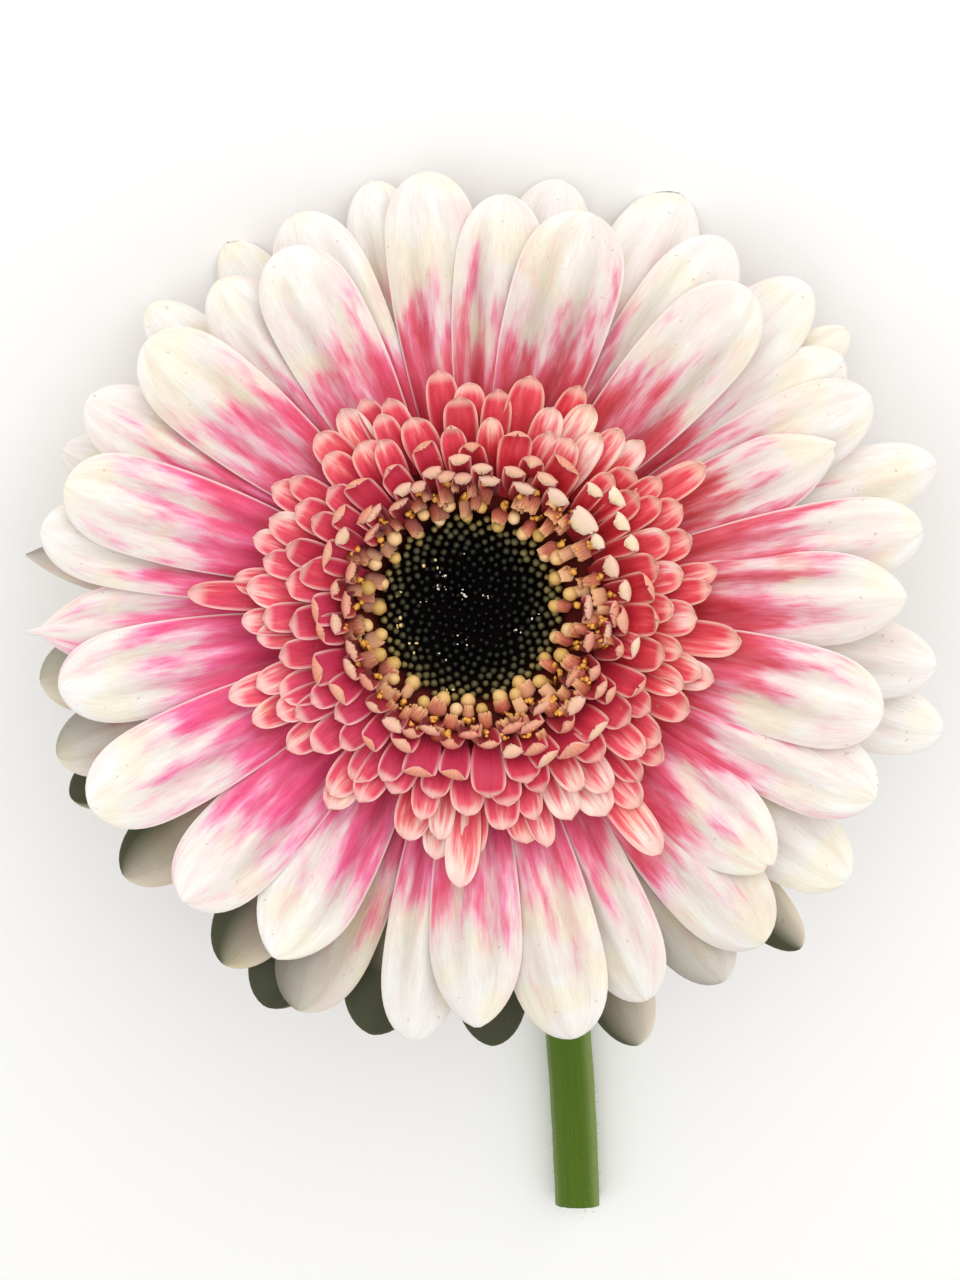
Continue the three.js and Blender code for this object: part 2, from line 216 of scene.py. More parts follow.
@dataclass
class Blade:
    """A thin closed blade along a curved midrib: a petal, a lobe or a bract.

    The spine's points are given as distance out from the axis, distance sideways and height.
    """

    spine: Array
    half: Callable[[Array], Array]
    lift: Callable[[Array, Array], Array]
    thickness: float
    azimuth: float
    rows: int = 14
    columns: int = 10
    twist: float = 0.0
    # How closely its rows gather at the tip: 1 is even.
    tip_gather: float = 1.6
    # Moves the end's points along the blade, for teeth and notches.
    cut: Callable[[Array, Array], Array] | None = None
    shift: tuple[float, float] = (0.0, 0.0)
    # Shares of its length: over which its direction is taken, and in which its end thins.
    sight: float = 0.03
    thinning: float = 0.05
    # How far its margins count as the reverse side.
    margin_under: float = 0.1

    def stations(self) -> tuple[Array, Array]:
        """How far along and across the blade its rows and columns of points lie."""
        s = 1 - (1 - np.linspace(0, 1, self.rows + 1)) ** self.tip_gather
        even = np.linspace(-1, 1, self.columns + 1)
        return s[:, None], (0.6 * np.sin(even * np.pi / 2) + 0.4 * even)[None, :]

    def frames(self, s: Array) -> tuple[Array, Array, Array, Array]:
        """The midrib's points and its sideways, upward and forward directions."""
        steps = np.linalg.norm(np.diff(self.spine, axis=0), axis=1)
        reached = np.concatenate([[0.0], np.cumsum(steps)])
        reached /= reached[-1]
        out = heading(self.azimuth)
        side = np.array([out[1], -out[0], 0.0])
        basis = np.stack([out, side, [0.0, 0.0, 1.0]])

        def at(share: Array) -> Array:
            """Points of the spine in the head's frame."""
            own = [np.interp(share, reached, self.spine[:, i]) for i in range(3)]
            return np.stack(own, axis=-1) @ basis

        flat = s[:, 0]
        after, before = np.minimum(flat + self.sight, 1), np.maximum(flat - self.sight, 0)
        ahead = unit(at(after) - at(before))
        sideways = unit(side - (ahead @ side)[:, None] * ahead)
        upward = np.cross(sideways, ahead)
        turn = (self.twist * flat)[:, None]
        turned_side = np.cos(turn) * sideways + np.sin(turn) * upward
        turned_up = np.cos(turn) * upward - np.sin(turn) * sideways
        middle = at(flat) + np.array([*self.shift, 0.0])
        return middle, turned_side, turned_up, ahead

    def add_to(self, bundle: Bundle, shade_map: Callable[[Array, Array], Array] | None = None,
               **values: float) -> None:
        """Mesh the blade and add it to a bundle.

        Args:
            bundle: Where it goes.
            shade_map: How much painted shade each place on the blade takes, from how deep in a
                valley it lies and from a shaded middle, if it has valleys.
            **values: The tissue values that are the same all over it.
        """
        s, u = self.stations()
        middle, side, up, ahead = self.frames(s)
        half, lift = self.half(s), self.lift(s, u)
        edge = np.sqrt(1 - u ** 4) * np.sqrt(np.clip((1 - s) / self.thinning, 0, 1))
        thick = 0.5 * self.thickness * edge
        along = self.cut(s, u) if self.cut else np.zeros_like(thick)
        flat = (middle[:, None] + side[:, None] * (u * half)[..., None]
                + ahead[:, None] * along[..., None])
        top = flat + up[:, None] * (lift + thick)[..., None]
        below = flat + up[:, None] * (lift - thick)[..., None]
        rows, columns = thick.shape
        upper = np.arange(rows * columns).reshape(rows, columns)
        lower = upper.copy()
        inner = (slice(0, rows - 1), slice(1, columns - 1))
        lower[inner] = rows * columns + np.arange((rows - 1) * (columns - 2)).reshape(rows - 1, -1)

        def sheet(grid: Array, order: Sequence[int]) -> Array:
            """Quads over a grid of point numbers."""
            corners = [grid[:-1, :-1], grid[:-1, 1:], grid[1:, 1:], grid[1:, :-1]]
            return np.stack([corners[i].ravel() for i in order], axis=1)

        cap = np.concatenate([lower[0, :], upper[0, -2:0:-1]])[None, :]
        points = np.concatenate([top.reshape(-1, 3), below[inner].reshape(-1, 3)])
        under = np.zeros(thick.shape)
        under[:, [0, -1]] = self.margin_under
        under[-1, :] = self.margin_under
        grids = {
            "along": np.broadcast_to(s, thick.shape),
            "across": np.broadcast_to(u, thick.shape),
            "under": under,
            "valley": shade_map(s, u) if shade_map else np.zeros(thick.shape),
        }
        spread = {name: np.concatenate([grid.ravel(), grid[inner].ravel()])
                  for name, grid in grids.items()}
        spread["under"][thick.size:] = 1.0
        faces = [sheet(upper, (0, 1, 2, 3)), sheet(lower, (3, 2, 1, 0)), cap]
        bundle.add(points, faces, **spread, **values)


def revolve(profile: Sequence[tuple[float, float]], sides: int,
            swell: Callable[[float, Array], Array] | None = None,
            ) -> tuple[Array, list[Array], Array]:
    """Turn a profile round the Z axis into a closed body.

    Args:
        profile: Radius and height, from the bottom pole at radius 0 to the top one.
        sides: How many sides it has.
        swell: Gives a factor for the radius from the share of the way up and the angle.

    Returns:
        Its points, its faces and each point's share of the way up.
    """
    angle = np.arange(sides) * 2 * np.pi / sides
    ring_count = len(profile) - 2
    rows = [np.array([[0.0, 0.0, profile[0][1]]])]
    shares = [0.0]
    for i in range(1, ring_count + 1):
        radius, height = profile[i]
        share = i / (ring_count + 1)
        wide = radius * (swell(share, angle) if swell else np.ones(sides))
        rows.append(np.stack([wide * np.cos(angle), wide * np.sin(angle),
                              np.full(sides, height)], axis=1))
        shares += [share] * sides
    rows.append(np.array([[0.0, 0.0, profile[-1][1]]]))
    shares.append(1.0)
    ring = 1 + np.arange(ring_count * sides).reshape(ring_count, sides)
    after = np.roll(ring, -1, axis=1)
    last = ring_count * sides + 1
    zero = np.zeros(sides, dtype=int)
    walls = np.stack([ring[:-1].ravel(), after[:-1].ravel(), after[1:].ravel(),
                      ring[1:].ravel()], axis=1)
    bottom = np.stack([zero, after[0], ring[0]], axis=1)
    top = np.stack([zero + last, ring[-1], after[-1]], axis=1)
    return np.concatenate(rows), [walls, bottom, top], np.array(shares)


def aimed(points: Array, axis: Array, spin: float, base: Array) -> Array:
    """Stand points that were made round +Z on another axis.

    Args:
        points: The points to move.
        axis: The direction that +Z turns to.
        spin: Turn round their own axis first, in radians.
        base: Where their origin goes.

    Returns:
        The moved points.
    """
    turn = Vector((0, 0, 1)).rotation_difference(Vector(axis)).to_matrix()
    turn = turn @ Matrix.Rotation(spin, 3, "Z")
    return points @ np.array(turn).T + base


# ---- finishes ----
def add(tree: Tree, kind: str, links: dict[int | str, object] | None = None,
        output: int | str = 0, stops: Stops = (), **settings: object) -> Socket:
    """Add a node with its settings and links.

    Args:
        tree: The material's node tree.
        kind: The node's type.
        links: A socket or a plain value for each of the node's inputs that matters.
        output: Which of its outputs is wanted.
        stops: Places and sRGB hex colours for a colour ramp.
        **settings: The node's own settings.

    Returns:
        The wanted output.
    """
    node = tree.nodes.new(kind)
    for name, value in settings.items():
        setattr(node, name, value)
    for key, value in (links or {}).items():
        if isinstance(value, Socket):
            tree.links.new(value, node.inputs[key])
        else:
            node.inputs[key].default_value = value
    for i, (place, code) in enumerate(stops):
        elements = node.color_ramp.elements
        element = elements[i] if i < 2 else elements.new(place)
        element.position = place
        element.color = linear(code)
    return node.outputs[output]


def trait(tree: Tree, channel: str) -> Socket:
    """What each point of the plant carries in a channel."""
    return add(tree, "ShaderNodeAttribute", output="Fac", attribute_name=channel)


def calc(tree: Tree, operation: str, *terms: Socket | float, clamp: bool = False) -> Socket:
    """Combine sockets and numbers, kept between 0 and 1 where clamp is set."""
    return add(tree, "ShaderNodeMath", dict(enumerate(terms)), operation=operation,
               use_clamp=clamp)


def product(tree: Tree, first: Socket | float, *others: Socket | float) -> Socket:
    """Multiply sockets and numbers, from left to right."""
    for other in others:
        first = calc(tree, "MULTIPLY", first, other)
    return first


def span(tree: Tree, value: Socket, low: float = 0.0, high: float = 1.0, start: float = 0.0,
         end: float = 1.0, smooth: bool = False) -> Socket:
    """Carry a value from one range over to another and stop at its ends.

    Args:
        tree: The material's node tree.
        value: The value.
        low: Where its own range begins.
        high: Where its own range ends.
        start: What it becomes at low.
        end: What it becomes at high.
        smooth: Whether it eases in and out.

    Returns:
        The new value.
    """
    return add(tree, "ShaderNodeMapRange", {0: value, 1: low, 2: high, 3: start, 4: end},
               interpolation_type="SMOOTHSTEP" if smooth else "LINEAR")


def ramp(tree: Tree, value: Socket, stops: Stops) -> Socket:
    """The colour that a row of stops gives a value."""
    return add(tree, "ShaderNodeValToRGB", {0: value}, stops=stops)


def mix(tree: Tree, share: Socket | float, under: Socket | str, over: Socket | str,
        kind: str = "MIX") -> Socket:
    """Lay one colour over another.

    Args:
        tree: The material's node tree.
        share: How much of the upper colour shows.
        under: The lower colour, as a socket or as sRGB hex.
        over: The upper colour, in the same way.
        kind: How the two combine.

    Returns:
        The colour.
    """
    lower, upper = (linear(c) if isinstance(c, str) else c for c in (under, over))
    return add(tree, "ShaderNodeMix", {0: share, 6: lower, 7: upper}, output=2,
               data_type="RGBA", blend_type=kind)


def grain(tree: Tree, cells: float, detail: float) -> Socket:
    """Noise with so many cells a millimetre."""
    place = add(tree, "ShaderNodeTexCoord", output="Object")
    return add(tree, "ShaderNodeTexNoise", {"Vector": place, "Scale": cells / MM,
                                            "Detail": detail})


@dataclass(frozen=True)
class Tissue:
    """What every finish has: a colour from nodes, a soft gloss and a fine relief."""

    name: str
    roughness: float = 0.5
    ior: float = 1.4
    sheen: float = 0.0
    # The relief's depth in millimetres, and how many skin cells lie on one.
    depth: float = 0.03
    skin_cells: float = 2.5
    # How much light enters the skin, how many millimetres it goes, and the shares of that for
    # red, green and blue.
    scatter: float = 0.0
    scatter_scale: float = 0.6
    scatter_reach: tuple[float, float, float] = (1.0, 0.55, 0.4)
    specular: float = 0.5
    # How far apart in the noise the blades with a seed of 0 and of 1 lie.
    seed_step: float = 97.0

    def colour(self, tree: Tree) -> Socket:
        """The base colour's nodes."""
        raise NotImplementedError

    def relief(self, tree: Tree) -> Socket:
        """The height of the fine relief, from 0 to 1: the skin's cells unless a finish has more."""
        return grain(tree, self.skin_cells, 2.0)

    def streak(self, tree: Tree, lanes: float, runs: float) -> Socket:
        """Noise drawn out along a blade.

        Args:
            tree: The material's node tree.
            lanes: How many times it changes from the midrib to the edge.
            runs: How many times it changes from root to tip.

        Returns:
            A value round 0.5.
        """
        steps = (("across", lanes), ("along", runs), ("seed", self.seed_step))
        parts = [calc(tree, "MULTIPLY", trait(tree, name), step) for name, step in steps]
        place = add(tree, "ShaderNodeCombineXYZ", dict(enumerate(parts)))
        return add(tree, "ShaderNodeTexNoise", {"Vector": place, "Scale": 1.0, "Detail": 2.0})

    def material(self) -> bpy.types.Material:
        """Build the material, with what is the same all over set on the shader itself."""
        material = bpy.data.materials.new(self.name)
        material.use_nodes = True
        tree = material.node_tree
        shader = tree.nodes["Principled BSDF"]
        for name, value in {
            "Roughness": self.roughness,
            "IOR": self.ior,
            "Specular IOR Level": self.specular,
            "Sheen Weight": self.sheen,
            "Subsurface Weight": self.scatter,
            "Subsurface Radius": self.scatter_reach,
            "Subsurface Scale": self.scatter_scale * MM,
        }.items():
            shader.inputs[name].default_value = value
        tree.links.new(self.colour(tree), shader.inputs["Base Color"])
        bump = add(tree, "ShaderNodeBump", {
            "Height": self.relief(tree), "Distance": self.depth * MM, "Strength": 1.0,
        })
        tree.links.new(bump, shader.inputs["Normal"])
        return material


@dataclass(frozen=True)
class RayTissue(Tissue):
    """Velvety ray petal: pigment streaks run out along it and feather into a pale tip."""

    # Colours by how far past the pigment's end a point lies: 0.5 is the end itself.
    pigment: Stops = ()
    # What the pigment leans to on petals next to the stem: a tint by side that is painted light.
    cool: str = "F0569A"
    cool_share: float = 0.35
    # Painted shade: multiply the pigment and the pale end of the petals that don't lean to it.
    far_side_shade: str = "FFFFFF"
    warm: str = "FFFFFF"
    # Deeper streaks in the pigment.
    deep: str = "D23A58"
    line_share: float = 0.5
    # How far the streaks, the margins and one side of the blade carry the pigment.
    feather: float = 0.13
    margin: float = 0.07
    one_side: float = 0.0
    # How many broad streaks lie from the midrib to the edge and from root to tip, and how many
    # times as many fine and hair-fine ones do.
    lanes: float = 2.4
    runs: float = 4.0
    fine_steps: tuple[float, float] = (3.4, 2.2)
    hair_steps: tuple[float, float] = (10.0, 5.5)
    # The share of the feathering that broad, fine and hair-fine streaks make.
    swings: tuple[float, float, float] = (1.15, 0.5, 0.16)
    # Multiply it in patches, and how many patches lie on a millimetre.
    patches: Stops = ((0.38, "FFFAFB"), (0.5, "FFFFFF"), (0.64, "FFFCEE"))
    patch_cells: float = 0.125
    # Old spots on the skin, and how many cells of their noise lie on a millimetre.
    spot: str = "B98F5A"
    spot_share: float = 0.4
    spot_cells: float = 1.7
    # Painted shade: multiplies the valleys between the pleats, and the middles of petals that take
    # it.
    valley: str = "D0CABC"
    valley_share: float = 0.62
    # The rim's colour, and the one on petals that lean to magenta: a paler margin, lightened
    # further as painted light against the dark rolled edge.
    rim: str = "F6D2CF"
    cool_rim: str = "F6E6DE"
    rim_from: float = 0.9
    rim_share: float = 0.8
    # How strong the rim is at the blade's root, and round its tip.
    rim_root: float = 1.0
    tip_rim: float = 0.0
    # Colours of the reverse side from root to tip, and its stripes.
    reverse: Stops = ()
    stripe: str = "E7B4BC"
    stripe_share: float = 0.5
    # What the reverse turns to on the palest petals, and how much their tips dry yellow.
    pale: str = "F1E8DC"
    pale_share: float = 0.76
    dry: str = "E6D080"
    dry_share: float = 0.0
    # Painted shade: dulls the shaded petals to cream from near their root, before they darken.
    shade_dulling: str = "F0E6D2"
    shade_dulling_strength: float = 1.4
    # The dark colour that the painted shade turns to.
    tinge: str = "3E4026"
    # How far along the blade the painted shade sets in, and how much of it the reverse side takes.
    tinge_from: float = 0.55
    tinge_back: float = 1.0

    def colour(self, tree: Tree) -> Socket:
        """The upper side and the reverse, with painted shade over both."""
        width = calc(tree, "ABSOLUTE", trait(tree, "across"))
        fine = self.streak(tree, self.lanes * self.fine_steps[0], self.runs * self.fine_steps[1])
        top = self.rimmed(tree, self.patched_and_shaded(tree, self.pigmented(tree, width, fine)), width)
        return self.tinged(tree, mix(tree, trait(tree, "under"), top, self.back(tree, width, fine)))

    def past_end(self, tree: Tree, width: Socket, noises: Sequence[Socket]) -> Socket:
        """How far past its pigment's end a point lies, where 0.5 is the end itself.

        Args:
            tree: The material's node tree.
            width: How far the point is from the midrib.
            noises: The broad, fine and hair-fine streaks.

        Returns:
            The place in the pigment's colours.
        """
        place = calc(tree, "SUBTRACT", trait(tree, "along"), trait(tree, "blush"))
        place = calc(tree, "ADD", place, 0.5)
        # The pigment runs further out along the margins, and further still on one side.
        place = calc(tree, "ADD", place, span(tree, width, 0.5, end=-self.margin))
        sided = product(tree, span(tree, trait(tree, "seed"), start=-1.0), trait(tree, "across"))
        place = calc(tree, "ADD", place, span(tree, sided, 0.1, 0.8, end=-self.one_side))
        for noise, reach in zip(noises, self.swings):
            swing = self.feather * reach
            place = calc(tree, "ADD", place, span(tree, noise, 0.3, 0.7, -swing, swing))
        return place

    def pigmented(self, tree: Tree, width: Socket, fine: Socket) -> Socket:
        """The pigment and the pale end past it, with their streaks and lines.

        Args:
            tree: The material's node tree.
            width: How far a point is from the midrib.
            fine: The fine streaks.

        Returns:
            The colour.
        """
        broad = self.streak(tree, self.lanes, self.runs)
        hair = self.streak(tree, self.lanes * self.hair_steps[0], self.runs * self.hair_steps[1])
        place = self.past_end(tree, width, (broad, fine, hair))
        shade = ramp(tree, place, self.pigment)
        # Painted light by side: petals next to the stem lean from coral to magenta, and the others
        # take a warmer, duller painted shade.
        inside = span(tree, place, 0.7, 0.4)
        lean = trait(tree, "cool")
        shade = mix(tree, product(tree, inside, lean, self.cool_share), shade, self.cool)
        side_tone = ramp(tree, place, ((0.36, self.far_side_shade), (0.6, self.warm)))
        shade = mix(tree, calc(tree, "SUBTRACT", 1.0, lean), shade, side_tone, "MULTIPLY")
        # Deeper streaks where the pigment is, about 0.8 mm apart.
        lines = product(tree, span(tree, fine, 0.48, 0.64, end=self.line_share), inside)
        shade = mix(tree, lines, shade, self.deep)
        # Hair-fine lines, about 0.3 mm apart.
        return mix(tree, 1.0, shade, span(tree, hair, 0.35, 0.65, 0.96, 1.02), "MULTIPLY")

    def patched_and_shaded(self, tree: Tree, shade: Socket) -> Socket:
        """Lay cream and pinkish patches, a few spots and painted grey-cream shade in the valleys
        over a colour.
        """
        patch = ramp(tree, grain(tree, self.patch_cells, 1.0), self.patches)
        shade = mix(tree, 1.0, shade, patch, "MULTIPLY")
        spots = span(tree, grain(tree, self.spot_cells, 0.0), 0.81, 0.86, end=self.spot_share)
        shade = mix(tree, spots, shade, self.spot)
        shade_depth = calc(tree, "MULTIPLY", trait(tree, "valley"), self.valley_share, clamp=True)
        return mix(tree, shade_depth, shade, self.valley, "MULTIPLY")

    def rimmed(self, tree: Tree, shade: Socket, width: Socket) -> Socket:
        """Take the pigment out of a colour along the blade's rim and round its tip; the rim is also
        lighter as a painted highlight.
        """
        along = trait(tree, "along")
        rim = span(tree, width, self.rim_from, end=self.rim_share, smooth=True)
        rim = product(tree, rim, span(tree, along, 0.3, 0.8, self.rim_root))
        tip = span(tree, along, 0.85, 0.95, end=self.tip_rim, smooth=True)
        edge = mix(tree, trait(tree, "cool"), self.rim, self.cool_rim)
        return mix(tree, calc(tree, "MAXIMUM", rim, tip), shade, edge)

    def back(self, tree: Tree, width: Socket, fine: Socket) -> Socket:
        """The striped reverse side, which the palest petals have pale with a dry tip.

        Args:
            tree: The material's node tree.
            width: How far a point is from the midrib.
            fine: The fine streaks.

        Returns:
            The colour.
        """
        along = trait(tree, "along")
        shade = ramp(tree, along, self.reverse)
        shade = mix(tree, span(tree, fine, 0.42, 0.62, end=self.stripe_share), shade, self.stripe)
        paler = product(tree, trait(tree, "seed"), self.pale_share)
        shade = mix(tree, paler, shade, self.pale)
        # The tips dry along their middle.
        middle = span(tree, width, 0.6, 0.0, end=self.dry_share)
        dried = product(tree, span(tree, along, 0.84, 0.97), middle, paler)
        return mix(tree, dried, shade, self.dry)

    def tinged(self, tree: Tree, shade: Socket) -> Socket:
        """Paint shade over a colour: dull it from near the root, then darken it from further out,
        one side more.
        """
        along, tinge = trait(tree, "along"), trait(tree, "tinge")
        shade_dulling = calc(tree, "MULTIPLY", tinge, self.shade_dulling_strength, clamp=True)
        shade_dulling = product(tree, shade_dulling, span(tree, along, self.tinge_from - 0.4, self.tinge_from))
        shade = mix(tree, shade_dulling, shade, self.shade_dulling, "MULTIPLY")
        # The painted shade is heavier on one side of the blade.
        leaning = span(tree, trait(tree, "across"), -0.9, 1.1, 0.2, 1.9)
        tinge = calc(tree, "MULTIPLY", tinge, leaning, clamp=True)
        grown = span(tree, along, self.tinge_from, self.tinge_from + 0.27)
        reach = span(tree, trait(tree, "under"), start=1.0, end=self.tinge_back)
        return mix(tree, product(tree, tinge, grown, reach), shade, self.tinge)

    def relief(self, tree: Tree) -> Socket:
        """Long veins, about 0.8 mm apart, under the fine cells of the skin."""
        veins = self.streak(tree, self.lanes * 5, 0.8)
        return calc(tree, "MULTIPLY_ADD", super().relief(tree), 0.3, veins)


@dataclass(frozen=True)
class BudTissue(Tissue):
    """Waxy skin of closed buds: dark below, with a lighter tip, greener towards the rim."""

    # The colour below the shoulder: the eye's own near-black on its buds, painted shade on the
    # swollen rim buds.
    foot: str = "0B0D08"
    # How far up the bud its tip's colour starts, and how far it takes to come in.
    shoulder: float = 0.55
    fade: float = 0.45
    tips: Stops = ()
    mottle_cells: float = 0.9

    def colour(self, tree: Tree) -> Socket:
        """Foot colour up to the shoulder, then the tip's colour for the bud's own ring."""
        mottle = grain(tree, self.mottle_cells, 2.0)
        height = calc(tree, "MULTIPLY_ADD", mottle, 0.3, trait(tree, "along"))
        share = span(tree, height, self.shoulder, self.shoulder + self.fade)
        return mix(tree, share, self.foot, ramp(tree, trait(tree, "blush"), self.tips))


@dataclass(frozen=True)
class GreenTissue(Tissue):
    """Hairy green skin: ribs or veins along it, mottled and paler towards one end."""

    # Its greens at the two ends, and the marks along it.
    near: str = "4C6A1A"
    far: str = "56721E"
    marks: str = "435C14"
    mark_share: float = 0.6
    cut: str = "B9C48A"
    # On the stem a painted highlight along its flanks, on the bed the wine of its top.
    flank: str = "8FA15C"

    def colour(self, tree: Tree) -> Socket:
        """Two greens along the piece, darker lengthwise marks, the flank colour (painted highlight
        on the stem, wine on the bed) and the cut face's pith.
        """
        shade = mix(tree, trait(tree, "along"), self.near, self.far)
        marks = span(tree, self.streak(tree, 9.0, 3.0), 0.42, 0.75, end=self.mark_share)
        shade = mix(tree, marks, shade, self.marks)
        shade = mix(tree, trait(tree, "blush"), shade, self.flank)
        return mix(tree, trait(tree, "under"), shade, self.cut)

    def relief(self, tree: Tree) -> Socket:
        """Fibres along the skin, about 0.4 mm apart."""
        return self.streak(tree, 14.0, 5.0)


@dataclass(frozen=True)
class PollenTissue(Tissue):
    """Grainy pollen on anthers: deep orange in the hollows, yellow on the grains."""

    deep: str = "B5651A"
    bright: str = "F2BC4E"
    pollen_cells: float = 6.0

    def colour(self, tree: Tree) -> Socket:
        """Grains about 0.15 mm across, brighter towards the top."""
        grains = grain(tree, self.pollen_cells, 1.0)
        height = calc(tree, "MULTIPLY_ADD", grains, 0.8, trait(tree, "along"))
        return mix(tree, span(tree, height, 0.4, 1.2), self.deep, self.bright)


# Long ray petal: matt velvet with a soft sheen, crimson at the root that feathers to ivory.
LONG_RAY = RayTissue(
    name="ray_petal_ivory_crimson", roughness=0.55, sheen=0.1, depth=0.05, scatter=0.1,
    pigment=(
        (0.0, "BE2838"), (0.2, "D2384A"), (0.3, "E04C62"), (0.38, "EC6A88"), (0.46, "F292B0"),
        (0.53, "F2C2D2"), (0.6, "EEDCDC"), (0.68, "ECE2DC"), (0.8, "EDE8E2"), (0.92, "F1EFEC"),
    ),
    reverse=((0.0, "C9C79A"), (0.4, "EBD9CF"), (1.0, "F1E8DC")), stripe="E2A9B4",
    stripe_share=0.35, rim="F6E6DE", rim_from=0.93, far_side_shade="EEDACA", warm="FFFEFC",
    margin=0.02, one_side=0.12, line_share=0.62, cool="EE4C9E", cool_share=0.42, feather=0.14,
)
# Short ray petal: the same velvet, crimson in its hollow with a thin cream rim and tip; painted
# shade darkens the innermost to wine.
SHORT_RAY = RayTissue(
    name="ray_petal_coral", roughness=0.5, sheen=0.1, depth=0.05, scatter=0.1,
    pigment=(
        (0.0, "B81A24"), (0.25, "CE2A36"), (0.42, "E03E4A"), (0.54, "EA5860"), (0.64, "EE7C80"),
        (0.74, "F2A6A2"), (0.86, "F6CFC6"), (1.0, "F6E4DA"),
    ),
    reverse=((0.0, "BE424A"), (0.55, "CC5C54"), (0.75, "DA7C66"), (1.0, "E8A684")),
    stripe="CC645C", stripe_share=0.4, rim="EEBCA8", cool_rim="F6CFCB", rim_from=0.74,
    rim_share=0.85, rim_root=0.05, tip_rim=0.75, valley="DB8884", tinge="7B1A24",
    tinge_from=-1.0, tinge_back=0.12, shade_dulling="FFFFFF", pale="F6EAD0", dry_share=0.9,
    feather=0.21, margin=-0.06, lanes=1.7, runs=1.6, deep="C02638", line_share=0.65,
)
# Open floret's lip: thin terracotta-pink skin, striped, that dries peach at its toothed end, with
# painted shade to wine on one side of the ring.
FLORET = RayTissue(
    name="floret_lip_terracotta", roughness=0.5, sheen=0.1, depth=0.04, scatter=0.1,
    pigment=(
        (0.0, "601A1A"), (0.35, "8C342C"), (0.6, "B45E42"), (0.8, "D08A5C"), (0.95, "E0AC74"),
        (1.0, "E0AC74"),
    ),
    reverse=((0.0, "481816"), (0.4, "803024"), (0.64, "B4583C"), (0.82, "D28058"),
             (1.0, "EEB884")),
    stripe="A43434", stripe_share=0.7, rim="E8B47E", cool_rim="E8B47E", rim_from=0.86,
    valley="C98078", tinge="5A181E", tinge_from=-1.0, shade_dulling="FFFFFF", pale="EEC090",
    feather=0.25, lanes=1.8, runs=2.2,
)
# Disc bud: waxy and nearly black, with grey-green tips that turn olive at the rim.
DISC_BUD = BudTissue(
    name="disc_bud_wax", roughness=0.4, depth=0.02, foot="060505", specular=0.3, shoulder=0.62,
    tips=((0.0, "030303"), (0.2, "0C0C0A"), (0.45, "25261E"), (0.7, "46462F"), (0.86, "665E3E"),
          (1.0, "8E7C48")),
)
# Swollen rim bud: smooth tan-yellow skin, with painted shade in brown where it sits between its
# neighbours.
BALL_BUD = BudTissue(
    name="rim_bud_tan", roughness=0.45, depth=0.02, scatter=0.1, foot="B07C38", shoulder=0.3,
    tips=((0.0, "C09A50"), (0.3, "D8AE64"), (0.6, "E6BA7A"), (1.0, "F0C896")),
)
# Pollen clump: dry, grainy, saturated orange-yellow.
POLLEN = PollenTissue(name="pollen_orange", roughness=0.75, depth=0.08, bright="F6B652")
# Loose pollen on the eye: the same grains, dried nearly white.
SPECK = PollenTissue(name="pollen_dry", roughness=0.8, depth=0.05, deep="A89C86", bright="F2EEE0")
# Crumbs of pollen that fell in one piece: dull yellow.
CRUMB = PollenTissue(name="pollen_crumb", roughness=0.8, depth=0.05, deep="A9803C", bright="E8CC8C")
# Stem: olive skin with long ribs, matt from its short hairs, with pale pith at the cut.
STEM_SKIN = GreenTissue(name="stem_skin_olive", roughness=0.5, depth=0.05, specular=0.2)
# Bract: leathery grey-green, paler and browner towards its tip.
BRACT_SKIN = GreenTissue(
    name="bract_skin_green", roughness=0.6, depth=0.05, near="6E8A45", far="8F8A5A",
    marks="4C6230",
)
# Hair: colourless, so that it only lightens the outline of what it grows on.
HAIR = GreenTissue(name="plant_hair_pale", roughness=0.6, near="7C924C", far="A9B97C",
                   marks="8FA35E")
# Receptacle: the fleshy bed under the petals, pale green outside and dark between the buds.
BED = GreenTissue(name="receptacle_flesh", roughness=0.8, specular=0.05, near="0C0807",
                  far="98A36A", marks="140C0A", flank="5A1E1A")


def dress(piece: bpy.types.Object, finish: bpy.types.Material, slot: str,
          *nodes: str) -> bpy.types.Object:
    """Give a piece its finish and its place in the frame.

    Args:
        piece: The new piece.
        finish: Its material.
        slot: The record's material slot; not used.
        *nodes: The solids that it stands for.

    Returns:
        The piece.
    """
    piece.data.materials.append(finish)
    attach(piece, "root")
    if nodes:
        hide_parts(*nodes)
    log.info("%s: %d points, %d faces", piece.name, len(piece.data.vertices),
             len(piece.data.polygons))
    return piece


def towards(azimuth: float, side: float) -> float:
    """How far an azimuth lies to one side, both in degrees: 1 on it and -1 opposite."""
    return math.cos(math.radians(azimuth - side))


def coolness(azimuth: float) -> float:
    """How far the pigment leans to magenta at an azimuth in degrees, most next to the stem: a
    painted tint of the light on that side.
    """
    return 0.5 + 0.5 * towards(azimuth, 215)


# ---- long petals ----
class Tip(Enum):
    """How a long petal ends: the two powers of the curve that closes its outline."""

    ROUND = (2.6, 0.5)
    BLUNT = (2.9, 0.5)
    OBTUSE = (2.0, 0.62)
    POINTED = (1.7, 0.85)


@dataclass(frozen=True)
class Petal:
    """One long petal: where it points in degrees, its size in millimetres and its own traits."""

    azimuth: float
    # How far out from the head's axis its tip lies.
    reach: float
    width: float
    # Its layer, from 0 at the back to 3.5 in front.
    tier: float
    tip: Tip = Tip.ROUND
    # How far its tip bends aside.
    bend: float = 0.0
    # How far out from the head's axis its pigment ends.
    blush: float = 35.0
    # How much painted shade it takes: dulled, then darkened to olive, more on one side.
    tinge: float = 0.0
    # How deep its tip is notched, or how long a beak it has.
    notch: float = 0.0
    beak: float = 0.0
    # How much painted grey-cream shade gathers in its middle.
    mid_shade: float = 0.0


